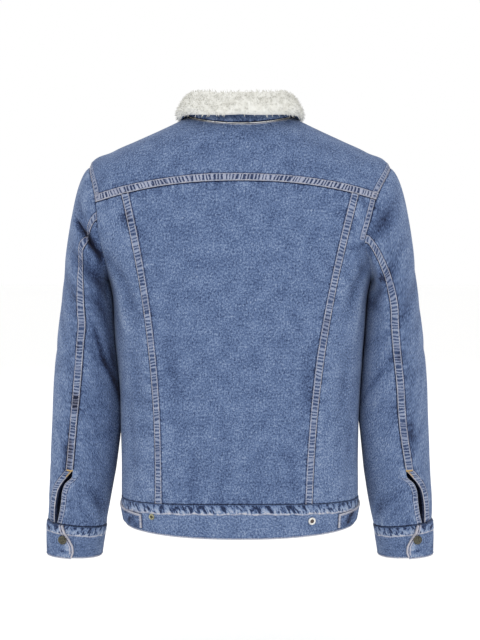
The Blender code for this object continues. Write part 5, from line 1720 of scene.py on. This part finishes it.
def stitches(runs):
    """Thread over the cloth along runs of points and normals, as short bent bars."""
    points, faces, uvs, total = [], [], [], 0
    for path, normals in runs:
        length = np.concatenate([[0], np.cumsum(np.linalg.norm(np.diff(path, axis=0), axis=1))])
        count = max(1, int(length[-1] / STITCH_PITCH))
        starts = (np.arange(count) + 0.1) * length[-1] / count
        marks = starts[:, None] + STITCH_PITCH * STITCH_SHARE * np.array([0, 0.5, 1.0])
        place = np.stack([np.interp(marks, length, path[:, k]) for k in range(3)], -1)
        up = unit(np.stack([np.interp(marks, length, normals[:, k]) for k in range(3)], -1))
        ahead = unit(place[:, -1:] - place[:, :1])
        side = unit(np.cross(up, ahead))
        lift = np.array([-0.0001, 0.00046, -0.0001])[None, :, None]
        wide = np.array([0.6, 1.0, 0.6])[None, :, None] * THREAD
        middle = place + up * lift
        across, above = side * wide, up * wide * 0.8
        ring = [middle + across, middle + above, middle - across, middle - above]
        made = np.stack(ring, 2).reshape(count, 12, 3)
        cell = [(r + k, r + (k + 1) % 4, r + 4 + (k + 1) % 4, r + 4 + k) for r in (0, 4) for k in range(4)]
        cell += [(3, 2, 1, 0), (8, 9, 10, 11)]
        points.append(made.reshape(-1, 3))
        faces.append((np.arange(count)[:, None, None] * 12 + np.array(cell)[None]).reshape(-1, 4) + total)
        uvs.append(np.stack([np.repeat(starts, 12), np.tile(np.arange(12) * 0.0003, count)], -1))
        total += count * 12
    return np.concatenate(points), np.concatenate(faces), np.concatenate(uvs)


def sewn(name, runs):
    points, faces, uv = stitches(runs)
    made = make_object(name, points, faces, {"cloth": uv}, ("thread",), smooth_angle=60)
    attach(made, "root")
    return made


def rows_of(made, values, side, keep=None):
    """Lines of stitching at some distances from one side of a built piece."""
    _, outer, normals, fields = made
    axis = 1 if side in ("first", "last") else 0
    off = fields[side][0]
    runs = []
    for value in values:
        path, normal = line_at(outer, normals, off, axis, value)
        if keep is not None:
            path, normal = path[keep(path)], normal[keep(path)]
        if len(path) > 2:
            runs.append((path, normal))
    return runs


def bartack(path, normals, width=0.0016, pitch=0.0006):
    """A short dense bar of thread across a run of points."""
    length = np.concatenate([[0], np.cumsum(np.linalg.norm(np.diff(path, axis=0), axis=1))])
    marks = np.arange(0, length[-1], pitch)
    place = np.stack([np.interp(marks, length, path[:, k]) for k in range(3)], -1)
    up = unit(np.stack([np.interp(marks, length, normals[:, k]) for k in range(3)], -1))
    side = unit(np.cross(up, unit(path[-1:] - path[:1])))
    return [(np.stack([p - s * width, p + n * 0.0004, p + s * width]), np.stack([n] * 3))
            for p, n, s in zip(place, up, side)]


# ---------------------------------------------------------------- buttons
def turned(name, node, seat, normal, profile, finish, centre=None, steps=40):
    """A turned metal piece on its seat; profile is radius and height from the seat, in metres.

    centre is the look of the middle of its top.
    """
    profile = np.array(profile)
    angle = np.linspace(0, 2 * math.pi, steps + 1)[:-1]
    normal = unit(np.asarray(normal, float))
    side_a = unit(np.cross(normal, [0.3, 0.1, 1.0]))
    side_b = np.cross(normal, side_a)
    spoke = np.cos(angle)[:, None] * side_a + np.sin(angle)[:, None] * side_b
    points = seat + spoke[None] * profile[:, None, :1] + normal * profile[:, None, 1:]
    count = len(profile)
    index = np.arange(count * steps).reshape(count, steps)
    index = np.hstack([index, index[:, :1]])
    faces = np.stack([index[:-1, :-1], index[:-1, 1:], index[1:, 1:], index[1:, :-1]], -1).reshape(-1, 4)
    uv = points.reshape(-1, 3)[:, :2]
    middle = (np.arange(count - 1) >= count // 2) & (profile[:-1, 0] < CENTRE_SHARE * profile[:, 0].max())
    made = make_object(name, points.reshape(-1, 3), faces, {"cloth": uv}, (finish, centre or finish),
                       np.repeat(middle, steps), smooth_angle=40)
    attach(made, "root")
    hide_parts(node)
    return made


CENTRE_SHARE = 0.56
BUTTON = (
    # radius, height, in units of the button's radius
    (0.001, 0.03), (0.42, 0.03), (0.42, 0.14), (0.93, 0.19), (0.98, 0.23), (1.00, 0.30), (0.97, 0.37),
    (0.90, 0.41), (0.83, 0.40), (0.79, 0.36), (0.74, 0.345), (0.50, 0.37), (0.30, 0.39), (0.22, 0.43),
    (0.12, 0.46), (0.001, 0.47),
)
RIVET_RING = (
    (0.001, 0.03), (0.60, 0.03), (0.96, 0.10), (1.00, 0.24), (0.94, 0.40), (0.80, 0.50), (0.62, 0.47),
    (0.50, 0.36), (0.44, 0.20), (0.34, 0.16), (0.001, 0.16),
)


def scaled(profile, radius):
    return [(r * radius, h * radius) for r, h in profile]


def buttons():
    for word, x, z, radius in WAIST_BUTTONS:
        turn, level = on_back(np.array([x]), np.array([z]))[0]
        normal = body_normal(turn, level)
        seat = body(turn, level) + normal * WAIST_RISE
        looks = ("brass", "bronze") if word == "left" else ("nickel", "rust")
        turned(f"waist_ring_{word}", f"waist_button_{word}", seat, normal, scaled(RIVET_RING, radius), *looks)
    for side, word in ((1, "left"), (-1, "right")):
        around, down = np.array(CUFF_BUTTON_AROUND), np.array(CUFF_BUTTON_DOWN)
        normal = mirrored(tube_normal(around, down), side)
        seat = mirrored(tube(around, down), side) + normal * (CUFF_RISE + CUFF_LAP_RISE)
        profile = scaled(BUTTON, CUFF_BUTTON_RADIUS)
        turned(f"cuff_stud_{word}", f"cuff_button_{word}", seat, normal, profile, "bronze")
    for number, z in enumerate(FRONT_BUTTON_Z, 1):
        turn, level = on_front(np.array([0.0]), np.array([z]), 1)[0]
        normal = body_normal(turn, level)
        last = number == len(FRONT_BUTTON_Z)
        lift = WAIST_RISE + WAIST_LAP_RISE if last else LAY_GAP + TRIM_WALL
        seat = body(turn, level) + normal * lift
        profile = scaled(BUTTON, FRONT_BUTTON_RADIUS)
        turned(f"front_stud_{number}", f"front_button_{number}", seat, normal, profile, "bronze")


# ---------------------------------------------------------------- studio
def studio():
    scene = bpy.context.scene
    world = bpy.data.worlds.new("studio")
    world.use_nodes = True
    world.node_tree.nodes["Background"].inputs["Color"].default_value = (1.0, 1.0, 1.0, 1)
    world.node_tree.nodes["Background"].inputs["Strength"].default_value = WORLD_LIGHT
    scene.world = world
    scene.view_settings.view_transform = "Standard"
    scene.view_settings.look = "None"
    for name, place, size, power in LAMPS:
        lamp = bpy.data.lights.new(name, "AREA")
        lamp.shape = "RECTANGLE"
        lamp.size, lamp.size_y = size
        lamp.energy = power
        made = bpy.data.objects.new(name, lamp)
        made.location = place
        made.rotation_euler = (Vector(AIM) - Vector(place)).to_track_quat("-Z", "Y").to_euler()
        scene.collection.objects.link(made)
    net = Net("floor_pale")
    net.shader.inputs["Base Color"].default_value = (0.99, 0.99, 0.985, 1)
    net.shader.inputs["Roughness"].default_value = 0.9
    mesh = bpy.data.meshes.new("floor")
    half = 8.0
    corners = ((-half, -half), (half, -half), (half, half), (-half, half))
    mesh.from_pydata([(x, y, FLOOR_Z) for x, y in corners], [], [(0, 1, 2, 3)])
    mesh.materials.append(net.material)
    floor = bpy.data.objects.new("floor", mesh)
    scene.collection.objects.link(floor)
    camera = bpy.data.cameras.new("camera")
    camera.lens = 105
    camera.sensor_width = 36
    made = bpy.data.objects.new("camera", camera)
    rise = math.radians(CAMERA_ELEVATION)
    place = Vector(AIM) + CAMERA_DISTANCE * Vector((0, math.cos(rise), math.sin(rise)))
    made.location = place
    made.rotation_euler = (Vector(AIM) - place).to_track_quat("-Z", "Y").to_euler()
    scene.collection.objects.link(made)
    scene.camera = made


AIM, CAMERA_ELEVATION, CAMERA_DISTANCE = (0.0, 0.0, -0.316), 6.0, 3.0
FLOOR_Z = -0.95
WORLD_LIGHT = 1.0
LAMPS = (
    # name, place, size, power in watts
    ("key", (0.9, 3.0, 1.6), (1.6, 1.6), 17),
    ("fill", (-1.6, 2.6, 0.4), (1.6, 2.0), 7),
    ("front_light", (0.4, -3.0, 1.4), (2.0, 2.0), 18),
)


# ---------------------------------------------------------------- the jacket
def main():
    centre = back_centre()
    yoke = back_yoke()
    sides = {side: back_side(word, side) for side, word in ((1, "left"), (-1, "right"))}
    fronts = {1: front("left", 1, LEFT_EDGE), -1: front("right", -1, RIGHT_EDGE)}
    band, belt = front_band(), waistband()
    tabs = {side: waist_tab(word, side) for side, word in ((1, "left"), (-1, "right"))}
    uppers, unders, cuffs = {}, {}, {}
    for side, word in ((1, "left"), (-1, "right")):
        upper, under = vent_edge(side, SLEEVE_DOWN, 0), vent_edge(side, SLEEVE_DOWN, 1)
        far = np.full(len(SLEEVE_DOWN), UNDER_SEAM)
        uppers[side] = sleeve_piece("upper", word, side, upper, far - 2 * math.pi, 101 + side)
        unders[side] = sleeve_piece("under", word, side, under, far, 111 + side)
        cuffs[side] = cuff(word, side)
    line, outward, thick = collar()
    middle = COLLAR_COLUMNS // 2
    tufts("collar_pile_left", line, outward, thick, middle, COLLAR_COLUMNS - 1, TUFTS, 201)
    tufts("collar_pile_right", line, outward, thick, 0, middle, TUFTS, 202)
    buttons()

    felled, twin, sewn_once = (0.0014, 0.0110), (0.0016, 0.0088), (0.0024,)
    runs = rows_of(centre, felled, "first") + rows_of(centre, felled, "last") + rows_of(yoke, felled, "low")
    for edge in ("first", "last"):
        runs += rows_of(yoke, twin, edge)
    runs += rows_of(sides[-1], twin, "first", lambda path: path[:, 2] > TWIN_ENDS[-1])
    for panel in fronts.values():
        runs += rows_of(panel, twin, "first", lambda path: path[:, 2] > FRONT_TWIN_END)
        runs += rows_of(panel, (0.0030,), "high")
    sewn("stitches_body", runs)
    runs = []
    for side in (1, -1):
        runs += rows_of(uppers[side], felled, "first")
        runs += rows_of(unders[side], (0.0030,), "first", lambda path: path[:, 2] < VENT_TOP_Z - 0.012)
        for edge in ("low", "last"):
            runs += rows_of(cuffs[side], (0.0026,), edge)
    sewn("stitches_sleeves", runs)
    runs = []
    runs += rows_of(belt, sewn_once, "low")
    for tab in tabs.values():
        for edge in ("high", "last"):
            runs += rows_of(tab, sewn_once, edge)
    for edge in ("low", "high", "first", "last"):
        runs += rows_of(band, sewn_once, edge)
    sewn("stitches_bands", runs)
    runs = []
    for side in (1, -1):
        _, outer, normals, _ = uppers[side]
        row = int(np.argmin(np.abs(outer[:, 0, 2] - VENT_TOP_Z)))
        runs += bartack(outer[row, :10], normals[row, :10])
        runs += bartack(outer[row : row + 6, 3], normals[row : row + 6, 3], 0.0010)
    points, faces, uv = stitches(runs)
    tacks = make_object("bartacks", points, faces, {"cloth": uv}, ("gold_thread",), smooth_angle=60)
    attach(tacks, "root")
    studio()


main()
